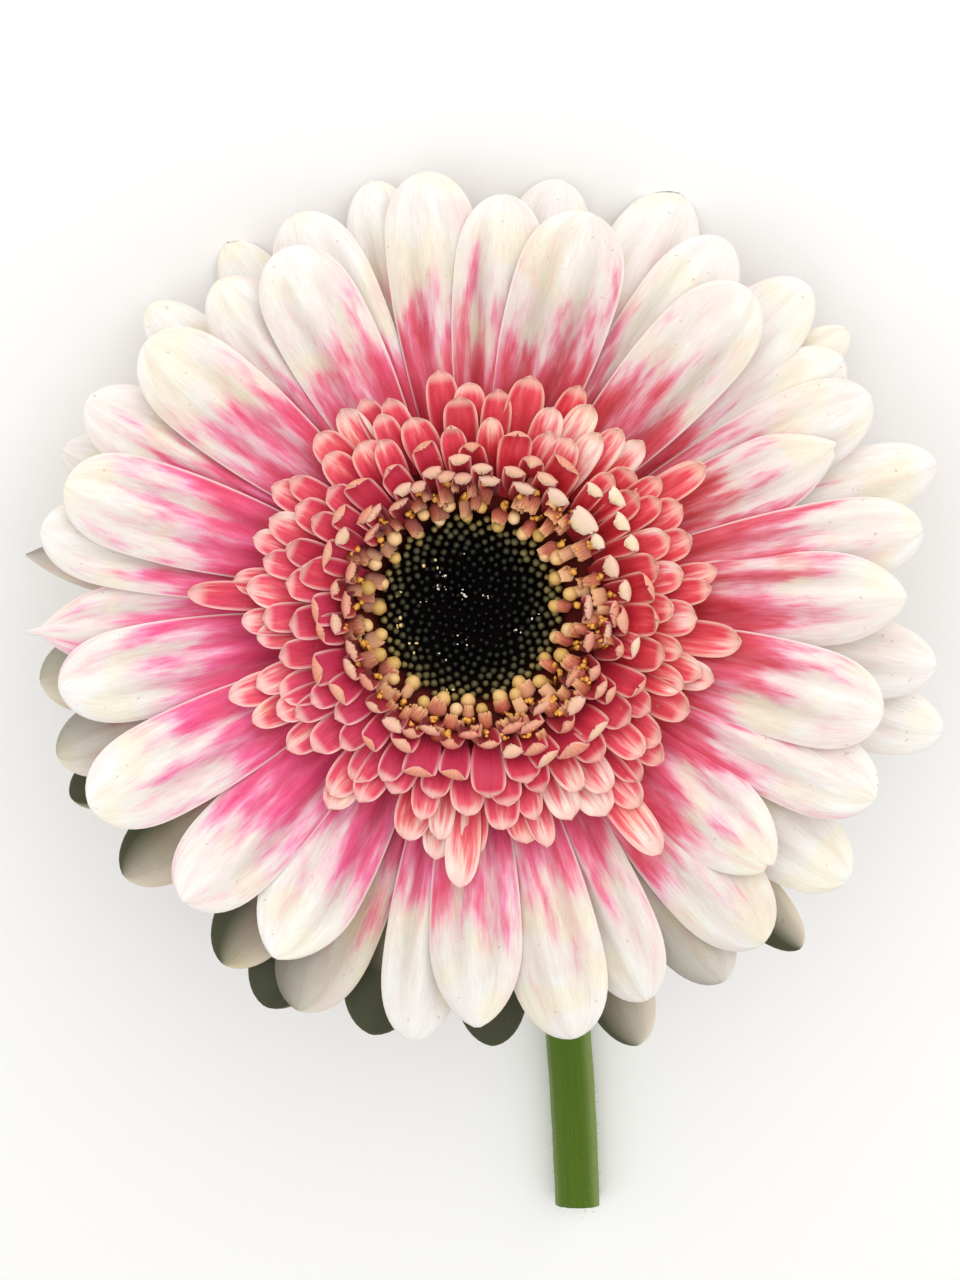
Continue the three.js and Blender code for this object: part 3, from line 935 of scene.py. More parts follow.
# The long petals that the photo shows, counter-clockwise from the picture's right.
PETALS = (
    Petal(1, 54.4, 11.9, 3, Tip.OBTUSE, blush=35.8, mid_shade=0.25),
    Petal(9.5, 57.5, 11, 2.4, blush=38.3, mid_shade=0.3), Petal(17, 62.2, 9.8, 0),
    Petal(23.5, 50.6, 10, 2, Tip.POINTED, blush=36.5, notch=0.9, mid_shade=0.5),
    Petal(27.5, 57, 11.3, 1.4, blush=37, mid_shade=0.5), Petal(33.5, 56.7, 10.6, 0.8),
    Petal(36, 59.6, 7.5, 0), Petal(43.5, 59, 11, 0.9),
    Petal(49, 52.5, 12.3, 3, bend=0.6, blush=34, mid_shade=0.6),
    Petal(55, 56, 11.3, 2, blush=33.6, mid_shade=0.5), Petal(63, 59, 11.9, 1),
    Petal(73, 51, 13.5, 3.2, blush=34, mid_shade=0.9), Petal(78, 55.1, 11.3, 1),
    Petal(85, 51.5, 11.3, 2.6, blush=35.5, mid_shade=0.7),
    Petal(96, 54.6, 11.9, 2.2, Tip.BLUNT, blush=34.8, mid_shade=0.4), Petal(103, 55.1, 10, 1),
    Petal(114, 53.8, 11.9, 2, blush=31.8), Petal(118, 50.1, 12.3, 3, blush=31, mid_shade=0.3),
    Petal(124, 56.1, 8.8, 0), Petal(128, 51.6, 10.6, 2, blush=32.5), Petal(137, 56.1, 8.8, 0),
    Petal(141, 52, 12.5, 3, blush=35, mid_shade=0.25), Petal(152, 54.6, 11, 2, blush=37.5),
    Petal(159, 55.7, 8.8, 0), Petal(163.5, 52.6, 12.3, 3.1, Tip.BLUNT, blush=35.8),
    Petal(170, 54.6, 11.3, 2.3, blush=35.5), Petal(173.5, 57, 7.5, 0, Tip.POINTED, tinge=0.4),
    Petal(183.5, 56.1, 11, 1.8, Tip.POINTED, beak=1.6, blush=39),
    Petal(191.5, 52.4, 11.8, 2.7, blush=36.5), Petal(190, 55.7, 11.3, 0, tinge=0.35),
    Petal(200, 55.6, 10.6, 1, tinge=0.36), Petal(205.5, 56.5, 8.8, 0, tinge=2.5),
    Petal(208, 53.5, 12.5, 3.3, blush=36), Petal(218, 55.6, 10.6, 1, tinge=0.65),
    Petal(226, 51.4, 12.3, 3, blush=35.5), Petal(235.5, 55.1, 10.6, 1, tinge=0.7),
    Petal(241, 50.4, 12.5, 2.6, Tip.OBTUSE, blush=32.8), Petal(243, 57.4, 11, 0, tinge=4),
    Petal(247, 55.6, 11.9, 1.2, tinge=0.46), Petal(257, 56.1, 11, 0, tinge=5),
    Petal(262.5, 55.1, 10.1, 2, blush=31.6, tinge=0.06),
    Petal(271, 52.6, 11.6, 3, Tip.OBTUSE, blush=34.5, tinge=0.08),
    Petal(273, 56.2, 10, 0, tinge=5), Petal(283.5, 55.7, 12.3, 2.6, blush=36, tinge=0.08),
    Petal(291, 60, 9.4, 0, tinge=0.6), Petal(294, 54.4, 10.6, 1.9, blush=36, tinge=0.08),
    Petal(304, 57.4, 10.6, 1, tinge=0.32), Petal(311, 56.2, 12.5, 2, blush=39, tinge=0.06),
    Petal(314, 60.7, 7.5, 0, tinge=0.75),
    Petal(319, 50, 11.9, 2.7, Tip.OBTUSE, blush=35.8, notch=0.7), Petal(324, 59.1, 11.9, 1),
    Petal(334.5, 56, 11.9, 2.9, blush=37.3), Petal(345, 53, 12.5, 3.5, blush=36.3, mid_shade=0.15),
    Petal(345, 62.4, 10, 0), Petal(352.5, 59.5, 10.6, 1),
)


@dataclass
class LongPetals:
    """The ray petals that make the flower's outline, in layers."""

    place: HeadPlace
    root_radius: float = 10.0
    thickness: float = 0.45
    arch: float = 0.2
    # The height of the root, the rise of the midrib and its droop, each for tier 0 and what
    # every tier adds.
    root_height: tuple[float, float] = (-1.2, 0.8)
    climb: tuple[float, float] = (4.16, 1.9)
    fall: tuple[float, float] = (-7.76, 0.9)
    # Azimuths of the back petals whose tips rest on the surface, and how far they droop to it.
    resting: tuple[tuple[float, float], ...] = ((63, 3.2), (124, 2.5))
    # Shares of the greatest width at the root and at the tip, and where the blade is widest.
    root_share: float = 0.34
    least_tip: float = 0.07
    widest_at: float = 0.76
    beak_half: float = 0.5
    # How deep a full pleat is, how wide it is across and where the two lie.
    pleat_depth: float = 0.65
    pleat_width: float = 0.17
    pleats: tuple[float, float] = (-0.42, 0.38)

    def spine(self, petal: Petal) -> Array:
        """The midrib's points: out, sideways and up."""
        root, climb, fall = (
            base + step * petal.tier for base, step in (self.root_height, self.climb, self.fall)
        )
        drop = dict(self.resting).get(petal.azimuth, 0.0)
        s = np.linspace(0, 1, 40)
        return np.stack([
            lerp(self.root_radius, petal.reach, s),
            petal.bend * s ** 2,
            root + climb * s + fall * s ** 2 - drop * s ** 3,
        ], axis=1)

    def half_width(self, petal: Petal) -> Callable[[Array], Array]:
        """The outline: half the petal's width at each share of its length."""
        power, root = petal.tip.value

        def half(s: Array) -> Array:
            """Half the width in millimetres."""
            below = lerp(self.root_share, 1.0, np.sin(
                np.pi / 2 * np.clip(s / self.widest_at, 0, 1)) ** 1.4)
            past = np.clip((s - self.widest_at) / (1 - self.widest_at), 0, 1)
            above = (1 - past ** power) ** root
            wide = np.maximum(np.where(s < self.widest_at, below, above), self.least_tip)
            return petal.width / 2 * wide

        def beaked(s: Array) -> Array:
            """The same outline squeezed towards the root, with a narrow beak at its end."""
            share = 1 - petal.beak / (petal.reach - self.root_radius)
            beak = self.beak_half * (1 - 0.6 * np.clip((s - share) / (1 - share), 0, 1))
            return np.maximum(np.where(s < share, half(np.minimum(s / share, 1)), 0), beak)

        return beaked if petal.beak else half

    def add_petal(self, bundle: Bundle, petal: Petal, rng: np.random.Generator) -> None:
        """Add one petal with its own pleats, waves and pigment.

        Args:
            bundle: The petals so far.
            petal: Its place, size and traits.
            rng: The source of what differs between petals.
        """
        half = self.half_width(petal)
        centres = [centre + rng.normal(0, 0.06) for centre in self.pleats]
        depths = rng.uniform(0.25, 0.7, 2)
        ridge = rng.uniform(0.1, 0.3)
        wave, phase, beats = rng.uniform(0.1, 0.3), rng.uniform(0, 6.3), rng.uniform(1.2, 2.2)

        def strength(s: Array) -> Array:
            """How deep the pleats are at a share of the length."""
            return ease(0.1, 0.4, s) * (1 - 0.85 * ease(0.7, 0.97, s))

        def folds(s: Array, u: Array) -> Array:
            """How deep in a valley a point lies, from 0 to 1."""
            deep = sum(depth * bell(u, centre, self.pleat_width)
                       for depth, centre in zip(depths, centres))
            return deep / self.pleat_depth * strength(s)

        def lift(s: Array, u: Array) -> Array:
            """Height above the midrib's own curve."""
            arch = self.arch * half(s) * u ** 2
            crest = ridge * bell(u, 0, 0.15) * strength(s)
            edge = wave * np.sin(phase + beats * 2 * np.pi * s) * u ** 2 * np.sign(u + 1e-9)
            return crest + edge * strength(s) - arch - self.pleat_depth * folds(s, u)

        def shaded(s: Array, u: Array) -> Array:
            """Where painted grey-cream shade gathers: the valleys and the middle."""
            return folds(s, u) + petal.mid_shade * bell(s, 0.58, 0.2) * (1 - 0.5 * u ** 2)

        def notch(s: Array, u: Array) -> Array:
            """A small bite out of the tip."""
            across = u * half(s)
            return -petal.notch * bell(across, 0.3, 0.5) * ease(0.9, 1.0, s)

        Blade(
            spine=self.spine(petal), half=half, lift=lift, thickness=self.thickness,
            azimuth=math.radians(petal.azimuth), rows=28, columns=22,
            twist=rng.normal(0, 0.05), cut=notch if petal.notch else None,
        ).add_to(
            bundle, seed=rng.uniform(), shade_map=shaded, tinge=petal.tinge,
            cool=coolness(petal.azimuth),
            blush=(petal.blush + rng.normal(0, 0.3) - self.root_radius)
            / (petal.reach - self.root_radius),
        )

    def build(self) -> None:
        """Build and dress the long petals."""
        rng = np.random.default_rng(SEED)
        bundle = Bundle()
        for petal in PETALS:
            self.add_petal(bundle, petal, rng)
        piece = bundle.build("long_petals", self.place.matrix())
        dress(piece, LONG_RAY.material(), "petals", "outer_rays")


# ---- the rings round the eye ----
@dataclass(frozen=True)
class FloretSpot:
    """Where an open floret stands: its azimuth in degrees, its row and its offset outwards."""

    azimuth: float
    row: int
    out: float


@dataclass
class FloretRing:
    """Open florets in two rows that take turns round the eye, with a third row on one side."""

    count: int = 40
    # For each row: how far out the florets stand, how high they bend and where the lips end.
    foot_radii: tuple[float, ...] = (13.5, 15.2, 16.5)
    bend_heights: tuple[float, ...] = (8.5, 9.8, 10.8)
    lip_radii: tuple[float, ...] = (15.8, 17.3, 18.8)
    # Azimuths of the third row, in degrees: first, last and how many.
    third_row: tuple[float, float, int] = (-75.0, 62.0, 13)

    def spots(self) -> list[FloretSpot]:
        """Every floret's spot, a little uneven."""
        rng = np.random.default_rng(SEED + 6)
        found = [
            FloretSpot((k + rng.normal(0, 0.13)) / self.count * 360, k % 2, rng.normal(0, 0.22))
            for k in range(self.count)
        ]
        first, last, number = self.third_row
        for azimuth in np.linspace(first, last, number):
            found.append(FloretSpot(azimuth + rng.normal(0, 1.5), 2, rng.normal(0, 0.25)))
        return found


@dataclass(frozen=True)
class Ray:
    """One short ray: where it points, how far out it reaches and its own traits.

    A width of 0 follows from its reach. The fold is the length that lies folded over inwards.
    """

    azimuth: float
    reach: float
    # How pale it is, from 0 to 1.
    pale: float = 0.0
    width: float = 0.0
    fold: float = 0.0


# Rays that stand out of the outer spiral, with the bunch of pale ones at the upper right.
LONG_SHORT_RAYS = (
    Ray(33, 33.5, 0.7), Ray(66, 30.8), Ray(99.5, 30.4), Ray(124, 30.4, 0.3), Ray(176, 36.2, 0.2),
    Ray(199, 32.8, 0.2), Ray(266, 34.2, 0.25), Ray(307, 37.5, 0.1), Ray(353.5, 32.8, 0.2),
    Ray(46, 29.4, 1.0), Ray(52, 28.7, 0.95), Ray(56, 26.6, 0.9), Ray(61.5, 29.2, 0.95),
    Ray(70, 26.9, 0.9), Ray(62, 24.2, 0.8),
)
# Pale caps: wide ends that lie folded over the florets, most of them at the upper right.
FOLDED_RAYS = (
    Ray(24, 21.2, 0.9, 2.6, 1.3), Ray(32, 21.3, 0.9, 3.2, 1.3), Ray(39.5, 22.6, 1.0, 3.3, 1.5),
    Ray(46.5, 21.1, 0.8, 2.9, 1.0), Ray(17.5, 18.4, 0.7, 3.3, 2.0), Ray(39, 18.4, 0.9, 4.4, 3.0),
    Ray(53, 18.0, 0.8, 3.6, 2.0), Ray(29, 18.0, 1.0, 2.6, 1.4), Ray(7.5, 19.1, 0.7, 3.1, 1.2),
    Ray(61.5, 18.9, 0.4, 3.1, 1.0), Ray(66.5, 16.8, 0.7, 3.4, 1.2), Ray(73.5, 18.2, 0.4, 3.2, 1.0),
    Ray(81.5, 16.5, 0.6, 3.0, 1.0), Ray(86.5, 17.9, 0.5, 3.0, 0.9), Ray(96, 19.2, 0.4, 3.1, 0.9),
    Ray(93.5, 16.7, 0.4, 2.8, 0.9), Ray(107, 18.2, 0.4, 2.8, 1.0), Ray(101, 17.2, 0.3, 2.8, 0.8),
    Ray(120, 17.6, 0.6, 2.8, 1.0), Ray(113.5, 16.9, 0.4, 2.6, 1.0), Ray(186, 17.4, 0.5, 3.0, 1.2),
    Ray(235, 17.9, 0.5, 3.1, 1.5), Ray(285, 18.6, 0.5, 2.9, 1.5), Ray(317, 17.9, 0.5, 3.2, 1.5),
    Ray(151, 19.4, 0.5, 2.8, 1.4),
)


@dataclass
class ShortRays:
    """Spoon-shaped rays in a spiral: hooded round the florets and open further out."""

    place: HeadPlace
    ring: FloretRing
    count: int = 142
    # For the spiral's first and last ray: how far out its tip and its root lie, and how high.
    tip_radii: tuple[float, float] = (18.4, 31.2)
    root_radii: tuple[float, float] = (14.2, 18.2)
    root_heights: tuple[float, float] = (7.2, 5.2)
    # Height of a tip at each radius.
    tip_heights: tuple[tuple[float, float], ...] = (
        (15.4, 10.6), (17.3, 11.8), (18.8, 12.5), (21, 11.9), (24, 10.4), (30.6, 7.4), (40, 7.0),
    )
    # Greatest width at each reach.
    widths: tuple[tuple[float, float], ...] = ((15.4, 3.0), (18, 3.3), (19, 3.9), (30, 4.3))
    # Tips stop curling in between these reaches.
    curl_reaches: tuple[float, float] = (20.0, 23.5)
    # The curl of a hooded and of an open end: its radius, and how far it turns in radians.
    curl_radii: tuple[float, float] = (0.75, 3.2)
    curl_turns: tuple[float, float] = (2.75, 0.35)
    # Rays are hooded up to this reach, and further out towards this azimuth in degrees.
    hood_reach: float = 18.2
    hood_side: float = 60.0
    hood_lean: float = 1.2
    # Depth of the crease each side of the midrib, how far out it lies and how wide it is.
    crease: tuple[float, float, float] = (0.18, 0.33, 0.14)
    # Where the pigment ends on the inner and on the outer rays: past 1 is past the tip.
    pigment_ends: tuple[float, float] = (1.02, 0.76)
    # How much a placed cap keeps free of others: in shares of its width, and in degrees.
    free_share: float = 1.15
    free_angle: float = 2.0
    thickness: float = 0.3

    def near(self, ray: Ray, azimuth: float, reach: float) -> bool:
        """Whether a listed ray takes the room of one of the spiral."""
        apart = abs((ray.azimuth - azimuth + 180) % 360 - 180)
        if ray.fold:
            room = max(ray.width, 2.6) / ray.reach * 90 / math.pi * self.free_share
            return (apart < room + self.free_angle
                    and -ray.fold - 0.6 < reach - ray.reach < 1.0)
        return apart < 4.5 and reach > 24 and reach - 1 < ray.reach < reach + 3

    def rays(self, rng: np.random.Generator) -> list[Ray]:
        """Every short ray: the florets' own lips, then the spiral round the listed ones."""
        placed = LONG_SHORT_RAYS + FOLDED_RAYS
        found = list(placed)
        for spot in self.ring.spots():
            reach = self.ring.lip_radii[spot.row] + spot.out
            azimuth = spot.azimuth + rng.normal(0, 1.0)
            if not any(self.near(ray, azimuth, reach) for ray in placed):
                found.append(Ray(azimuth, reach, rng.uniform(0, 0.42), fold=rng.uniform(0.1, 0.5)))
        for k in range(self.count):
            share = k / (self.count - 1)
            reach = lerp(*self.tip_radii, share ** 0.8) + rng.normal(0, 0.4)
            azimuth = math.degrees(k * GOLDEN_ANGLE + rng.normal(0, 0.035)) % 360
            if not any(self.near(ray, azimuth, reach) for ray in placed):
                fold = rng.uniform(0.0, 1.0) ** 3 * 1.2
                pale = (0.6 + 0.4 * towards(azimuth, 290)) * rng.uniform(0, 1) ** 4
                found.append(Ray(azimuth, reach, pale, fold=fold))
        return found

    def spine(self, ray: Ray, hood: float,
              rng: np.random.Generator) -> tuple[Array, float, float]:
        """Draw the midrib: a rising stretch, the curl of its end and the fold past that.

        Args:
            ray: Its place, reach and fold.
            hood: 1 for an end that folds over inwards and 0 for one that lies open.
            rng: The source of what differs between rays.

        Returns:
            The midrib's points, the share of its length where its end curls, and how far from
            open to hooded that curl is.
        """
        innermost = self.tip_heights[0][0]
        out = float(np.clip((ray.reach - innermost) / (self.tip_radii[1] - innermost), 0, 1))
        s = np.linspace(0, 1, 14)
        rise = lerp(s, np.sin(np.pi / 2 * s), ease(0.1, 0.6, out))
        tip_height = float(np.interp(ray.reach, *zip(*self.tip_heights)))
        root = (lerp(*self.root_radii, out), lerp(*self.root_heights, out))
        aside = rng.normal(0, 0.45)
        tip_height += rng.normal(0, 0.3) * out
        main = np.stack([
            lerp(root[0], ray.reach, s), aside * (1 - s), lerp(root[1], tip_height, rise),
        ], axis=1)
        step = main[-1] - main[-2]
        start = math.atan2(step[2], step[0])
        curled = max(hood, 1 - float(ease(*self.curl_reaches, ray.reach + rng.normal(0, 0.8))))
        hooded, opened = self.curl_turns
        curl = lerp(opened, hooded - start * 0.35, curled) + rng.normal(0, 0.1)
        tight, loose = self.curl_radii
        tight *= rng.uniform(0.8, 1.2) * lerp(1.0, 0.75, hood)
        paces = 9
        angles = start + np.linspace(0, curl, paces + 1)[1:]
        arc = walk(main[-1], angles, lerp(loose, tight, curled) * curl / paces)
        bent = np.concatenate([main, arc])
        if curled * ray.fold > 0.1:
            droop = angles[-1] + np.linspace(0.15, rng.uniform(0.5, 1.0), 5)
            bent = np.concatenate([bent, walk(bent[-1], droop, ray.fold / 7)])
        # No part of it reaches further out than the ray does.
        bent[:, 0] -= max(bent[:, 0].max() - ray.reach, 0)
        lengths = np.linalg.norm(np.diff(bent, axis=0), axis=1)
        return bent, float(lengths[:len(main) - 1].sum() / lengths.sum()), float(curled)

    def pigment_end(self, ray: Ray, hood: float) -> float:
        """How far along a ray its pigment ends, as a share of its length."""
        # Next to the stem the inner rays hold more pigment and the outer ones less.
        inner = 1 - float(ease(23.0, 28.0, ray.reach))
        return (
            lerp(*self.pigment_ends, float(ease(19.5, 29, ray.reach)))
            + inner * lerp(-0.06, 0.23, coolness(ray.azimuth - 20))
            - (1 - inner) * lerp(-0.1, 0.02, coolness(ray.azimuth - 60))
            - 0.36 * ray.pale * (1 - hood)
        )

    def add_ray(self, bundle: Bundle, ray: Ray, rng: np.random.Generator) -> None:
        """Add one ray.

        Args:
            bundle: The rays so far.
            ray: Its place, reach and traits.
            rng: The source of what differs between rays.
        """
        limit = self.hood_reach + self.hood_lean * towards(ray.azimuth, self.hood_side)
        hood = 1.0 if ray.width else float(
            1 - ease(limit - 0.5, limit + 2.4, ray.reach + rng.normal(0, 0.6)))
        spine, bend, curled = self.spine(ray, hood, rng)
        width = 0.9 * ray.width or float(
            np.interp(ray.reach, *zip(*self.widths))) * rng.uniform(0.8, 1.14)
        cup = lerp(0.5, 1.1, hood) * rng.uniform(0.85, 1.2)
        # A cap bends right over with its full width; the spiral's hoods stay round.
        cap = hood ** 6 if ray.width or ray.reach < self.hood_reach else 0.0
        # The hollow lets go where the end turns over, so that it doesn't fold into itself.
        flat = lerp(0.45, 0.8, cap)
        teeth_at = rng.uniform(0, 6.3)
        jag = lerp(0.07, 0.2, hood)
        folding = min(1.5 * hood, 1)
        widest_at = lerp(lerp(0.68, bend - 0.36, folding), bend, cap)
        power = lerp(lerp(rng.uniform(2.2, 3.1), 1.7, folding), lerp(
            4.5, 3.0, min(ray.fold / 1.6, 1)), cap)

        def half(s: Array) -> Array:
            """Half the width: a narrow foot, a spoon and a blunt round end."""
            below = lerp(0.5, 1.0, ease(0, widest_at, s))
            past = np.clip((s - widest_at) / (1 - widest_at), 0, 1)
            ragged = 1 + 0.09 * hood * np.sin(75 * s + teeth_at) * ease(bend, bend + 0.1, s)
            above = (1 - past ** power) ** 0.5
            return width / 2 * ragged * np.maximum(np.where(s < widest_at, below, above), 0.1)

        def lift(s: Array, u: Array) -> Array:
            """The spoon's hollow, with a shallow crease each side of the midrib."""
            depth, aside, wide = self.crease
            crease = bell(u, -aside, wide) + bell(u, aside, wide)
            fading = ease(0.2, 0.6, s) * (1 - ease(bend - 0.25, bend - 0.05, s))
            hollow = ease(0, 0.5, s) * (1 - flat * curled * ease(bend - 0.1, bend + 0.1, s))
            return cup * u ** 2 * hollow - depth * crease * fading

        def teeth(s: Array, u: Array) -> Array:
            """Small blunt teeth along the end."""
            ragged = np.sin(u * 13 + teeth_at) + 0.6 * np.sin(u * 27 + 2 * teeth_at)
            return jag * ragged * ease(0.85, 1.0, s)

        # Painted shade: the innermost rays, down among the florets, darken to wine.
        deep = 1 - float(ease(15.0, 21.0, ray.reach))
        Blade(
            spine=spine, half=half, lift=lift, thickness=self.thickness,
            azimuth=math.radians(ray.azimuth), rows=28 if ray.width else 18,
            columns=14 if hood > 0.5 else 10,
            twist=rng.normal(0, lerp(0.2, 0.06, hood)), cut=teeth,
            shift=self.place.drift(ray.reach), tip_gather=lerp(1.35, 1.1, hood),
        ).add_to(
            bundle, seed=ray.pale, cool=0.8 * coolness(ray.azimuth) * (1 - deep), tinge=0.7 * deep,
            blush=self.pigment_end(ray, hood) + rng.normal(0, 0.08),
        )

    def build(self) -> None:
        """Build and dress the short rays."""
        rng = np.random.default_rng(SEED + 1)
        bundle = Bundle()
        for ray in self.rays(rng):
            self.add_ray(bundle, ray, rng)
        piece = bundle.build("short_rays", self.place.matrix())
        dress(piece, SHORT_RAY.material(), "short_rays", "inner_rays")


# ---- the disc ----
@dataclass
class Bed:
    """The fleshy receptacle that everything on the head grows from."""

    place: HeadPlace
    # Radius and height from the underside round to the top.
    profile: tuple[tuple[float, float], ...] = (
        (0, -1.9), (12.8, -1.9), (13.4, 0), (15.8, 3.0), (18.6, 5.0), (18.0, 7.0), (15.0, 7.2),
        (12.6, 6.4), (11.2, 5.4), (8, 4.0), (0, 3.0),
    )
    sides: int = 72
    shoulder: float = 4.5

    def build(self) -> None:
        """Build and dress the receptacle."""
        points, faces, _ = revolve(self.profile, self.sides)
        radius, height = np.hypot(*points[:, :2].T), points[:, 2]
        # Pale green outside, and dark wine on top under the florets.
        outside = np.clip((self.shoulder - height) / 4, 0, 1) * (radius > 12)
        wine = ease(10.8, 12.6, radius) * (height > self.shoulder)
        bundle = Bundle()
        bundle.add(points, faces, along=outside, blush=wine)
        piece = bundle.build("receptacle", self.place.matrix())
        dress(piece, BED.material(), "bracts")


@dataclass
class DiscFlorets:
    """Open florets: a square striped lip bent in over the eye and a pollen-laden anther."""

    place: HeadPlace
    ring: FloretRing
    foot_height: float = 6.6
    strap_width: float = 2.05
    strap_length: float = 1.8
    strap_thickness: float = 0.25
    bow_radius: float = 0.35
    # How many florets have a second, narrower lip, and its width.
    stray_share: float = 0.8
    stray_width: float = 1.4
    # The lips take painted shade, darkest towards this azimuth, in degrees.
    shaded_side: float = 145.0

    def add_strap(self, straps: Bundle, azimuth: float, foot: float, top: float, width: float,
                  turn: float, rng: np.random.Generator) -> None:
        """Add one lip that stands up from the foot and bends over.

        Args:
            straps: The lips so far.
            azimuth: Its direction from the axis, in radians.
            foot: How far out it stands.
            top: The height of its bend.
            width: Its width.
            turn: How far it bends, in radians: positive is inwards.
            rng: The source of what differs between lips.
        """
        length = self.strap_length * rng.uniform(0.75, 1.2)
        stand = np.array([[foot + 0.2, 0, self.foot_height], [foot, 0, top - 1.2],
                          [foot, 0, top - 0.5]])
        angles = np.pi / 2 + np.linspace(0, turn, 7)[1:]
        bow = walk(stand[-1], angles, self.bow_radius * abs(turn) / 6)
        droop = angles[-1] + np.linspace(0, rng.uniform(-0.1, 0.5), 6)[1:]
        spine = np.concatenate([stand, bow, walk(bow[-1], droop, length / 5)])
        teeth_at, arch = rng.uniform(0, 6.3), rng.uniform(0.05, 0.55)
        taper = rng.uniform(-0.1, 0.25)

        def half(s: Array) -> Array:
            """Half the lip's width: narrow tube below, square-ended strap above."""
            return width / 2 * lerp(0.4, 1.0, ease(0.25, 0.6, s)) * (1 - taper * ease(0.6, 1, s))

        def lift(s: Array, u: Array) -> Array:
            """The lip hoops a little, with fine channels along it."""
            channels = bell(u, -0.5, 0.12) + bell(u, 0, 0.12) + bell(u, 0.5, 0.12)
            return (arch * u ** 2 + 0.04 * channels) * ease(0.1, 0.5, s)

        def teeth(s: Array, u: Array) -> Array:
            """Three blunt teeth at the end, and small ones between them."""
            jag = 0.1 * np.cos(u * 3 * np.pi) + 0.08 * np.sin(u * 11 + teeth_at)
            return jag * ease(0.8, 1.0, s)

        Blade(
            spine=spine, half=half, lift=lift, thickness=self.strap_thickness, azimuth=azimuth,
            rows=14, columns=12, twist=rng.normal(0, 0.4), cut=teeth,
            shift=self.place.drift(foot), tip_gather=1.1,
        ).add_to(
            straps, seed=rng.uniform() ** 4, blush=rng.uniform(0.35, 0.8),
            tinge=0.55 * max(towards(math.degrees(azimuth), self.shaded_side), 0.0),
        )

    def add_anther(self, anthers: Bundle, azimuth: float, radius: float, height: float,
                   rng: np.random.Generator) -> None:
        """Add the anther tube with its clumps of pollen.

        Args:
            anthers: The anthers so far.
            azimuth: Its direction from the axis, in radians.
            radius: How far out it stands.
            height: How high its pollen lies.
            rng: The source of what differs between anthers.
        """
        out = heading(azimuth)
        aside = np.array([-out[1], out[0], 0.0]) * rng.normal(0, 0.25)
        base = out * radius + aside + np.array([*self.place.drift(radius), height])
        lean = unit(np.array([rng.normal(0, 0.2), rng.normal(0, 0.2), 1.0]))
        for clump in range(rng.integers(2, 7)):
            size = rng.uniform(0.3, 0.5) if clump == 0 else rng.uniform(0.14, 0.32)
            profile = [(0, -3.0), (0.16, -2.9), (0.2, -0.7), (size * 0.8, -0.4), (size, 0.0),
                       (size * 0.8, 0.35), (size * 0.4, 0.55), (0, 0.6)]
            bumps = rng.uniform(0.6, 1.4, (8, 9))
            points, faces, along = revolve(
                profile, 9, lambda share, angle: bumps[int(share * 7.99)][:len(angle)])
            away = rng.normal(0, 0.36, 3) * (clump > 0)
            anthers.add(aimed(points, lean, rng.uniform(0, 6.3), base + away), faces, along=along)

    def build(self) -> None:
        """Build and dress the florets and their anthers."""
        rng = np.random.default_rng(SEED + 2)
        straps, anthers = Bundle(), Bundle()
        for spot in self.ring.spots():
            azimuth = math.radians(spot.azimuth)
            foot = self.ring.foot_radii[spot.row] + spot.out
            top = self.ring.bend_heights[spot.row] + rng.normal(0, 0.2)
            width = self.strap_width * rng.uniform(0.7, 1.2)
            self.add_strap(straps, azimuth, foot, top, width, rng.uniform(1.0, 2.1), rng)
            if rng.uniform() < self.stray_share:
                stray = azimuth + rng.choice([-1, 1]) * rng.uniform(1.0, 1.6) / foot
                self.add_strap(straps, stray, foot + rng.uniform(0.5, 1.8), top + 0.6,
                               self.stray_width, rng.uniform(0.6, 1.7), rng)
            self.add_anther(anthers, azimuth, foot + rng.uniform(0.1, 0.6), top + 0.35, rng)
        strap_piece = straps.build("open_florets", self.place.matrix())
        dress(strap_piece, FLORET.material(), "florets", "disc_florets")
        anther_piece = anthers.build("anthers", self.place.matrix())
        dress(anther_piece, POLLEN.material(), "florets")


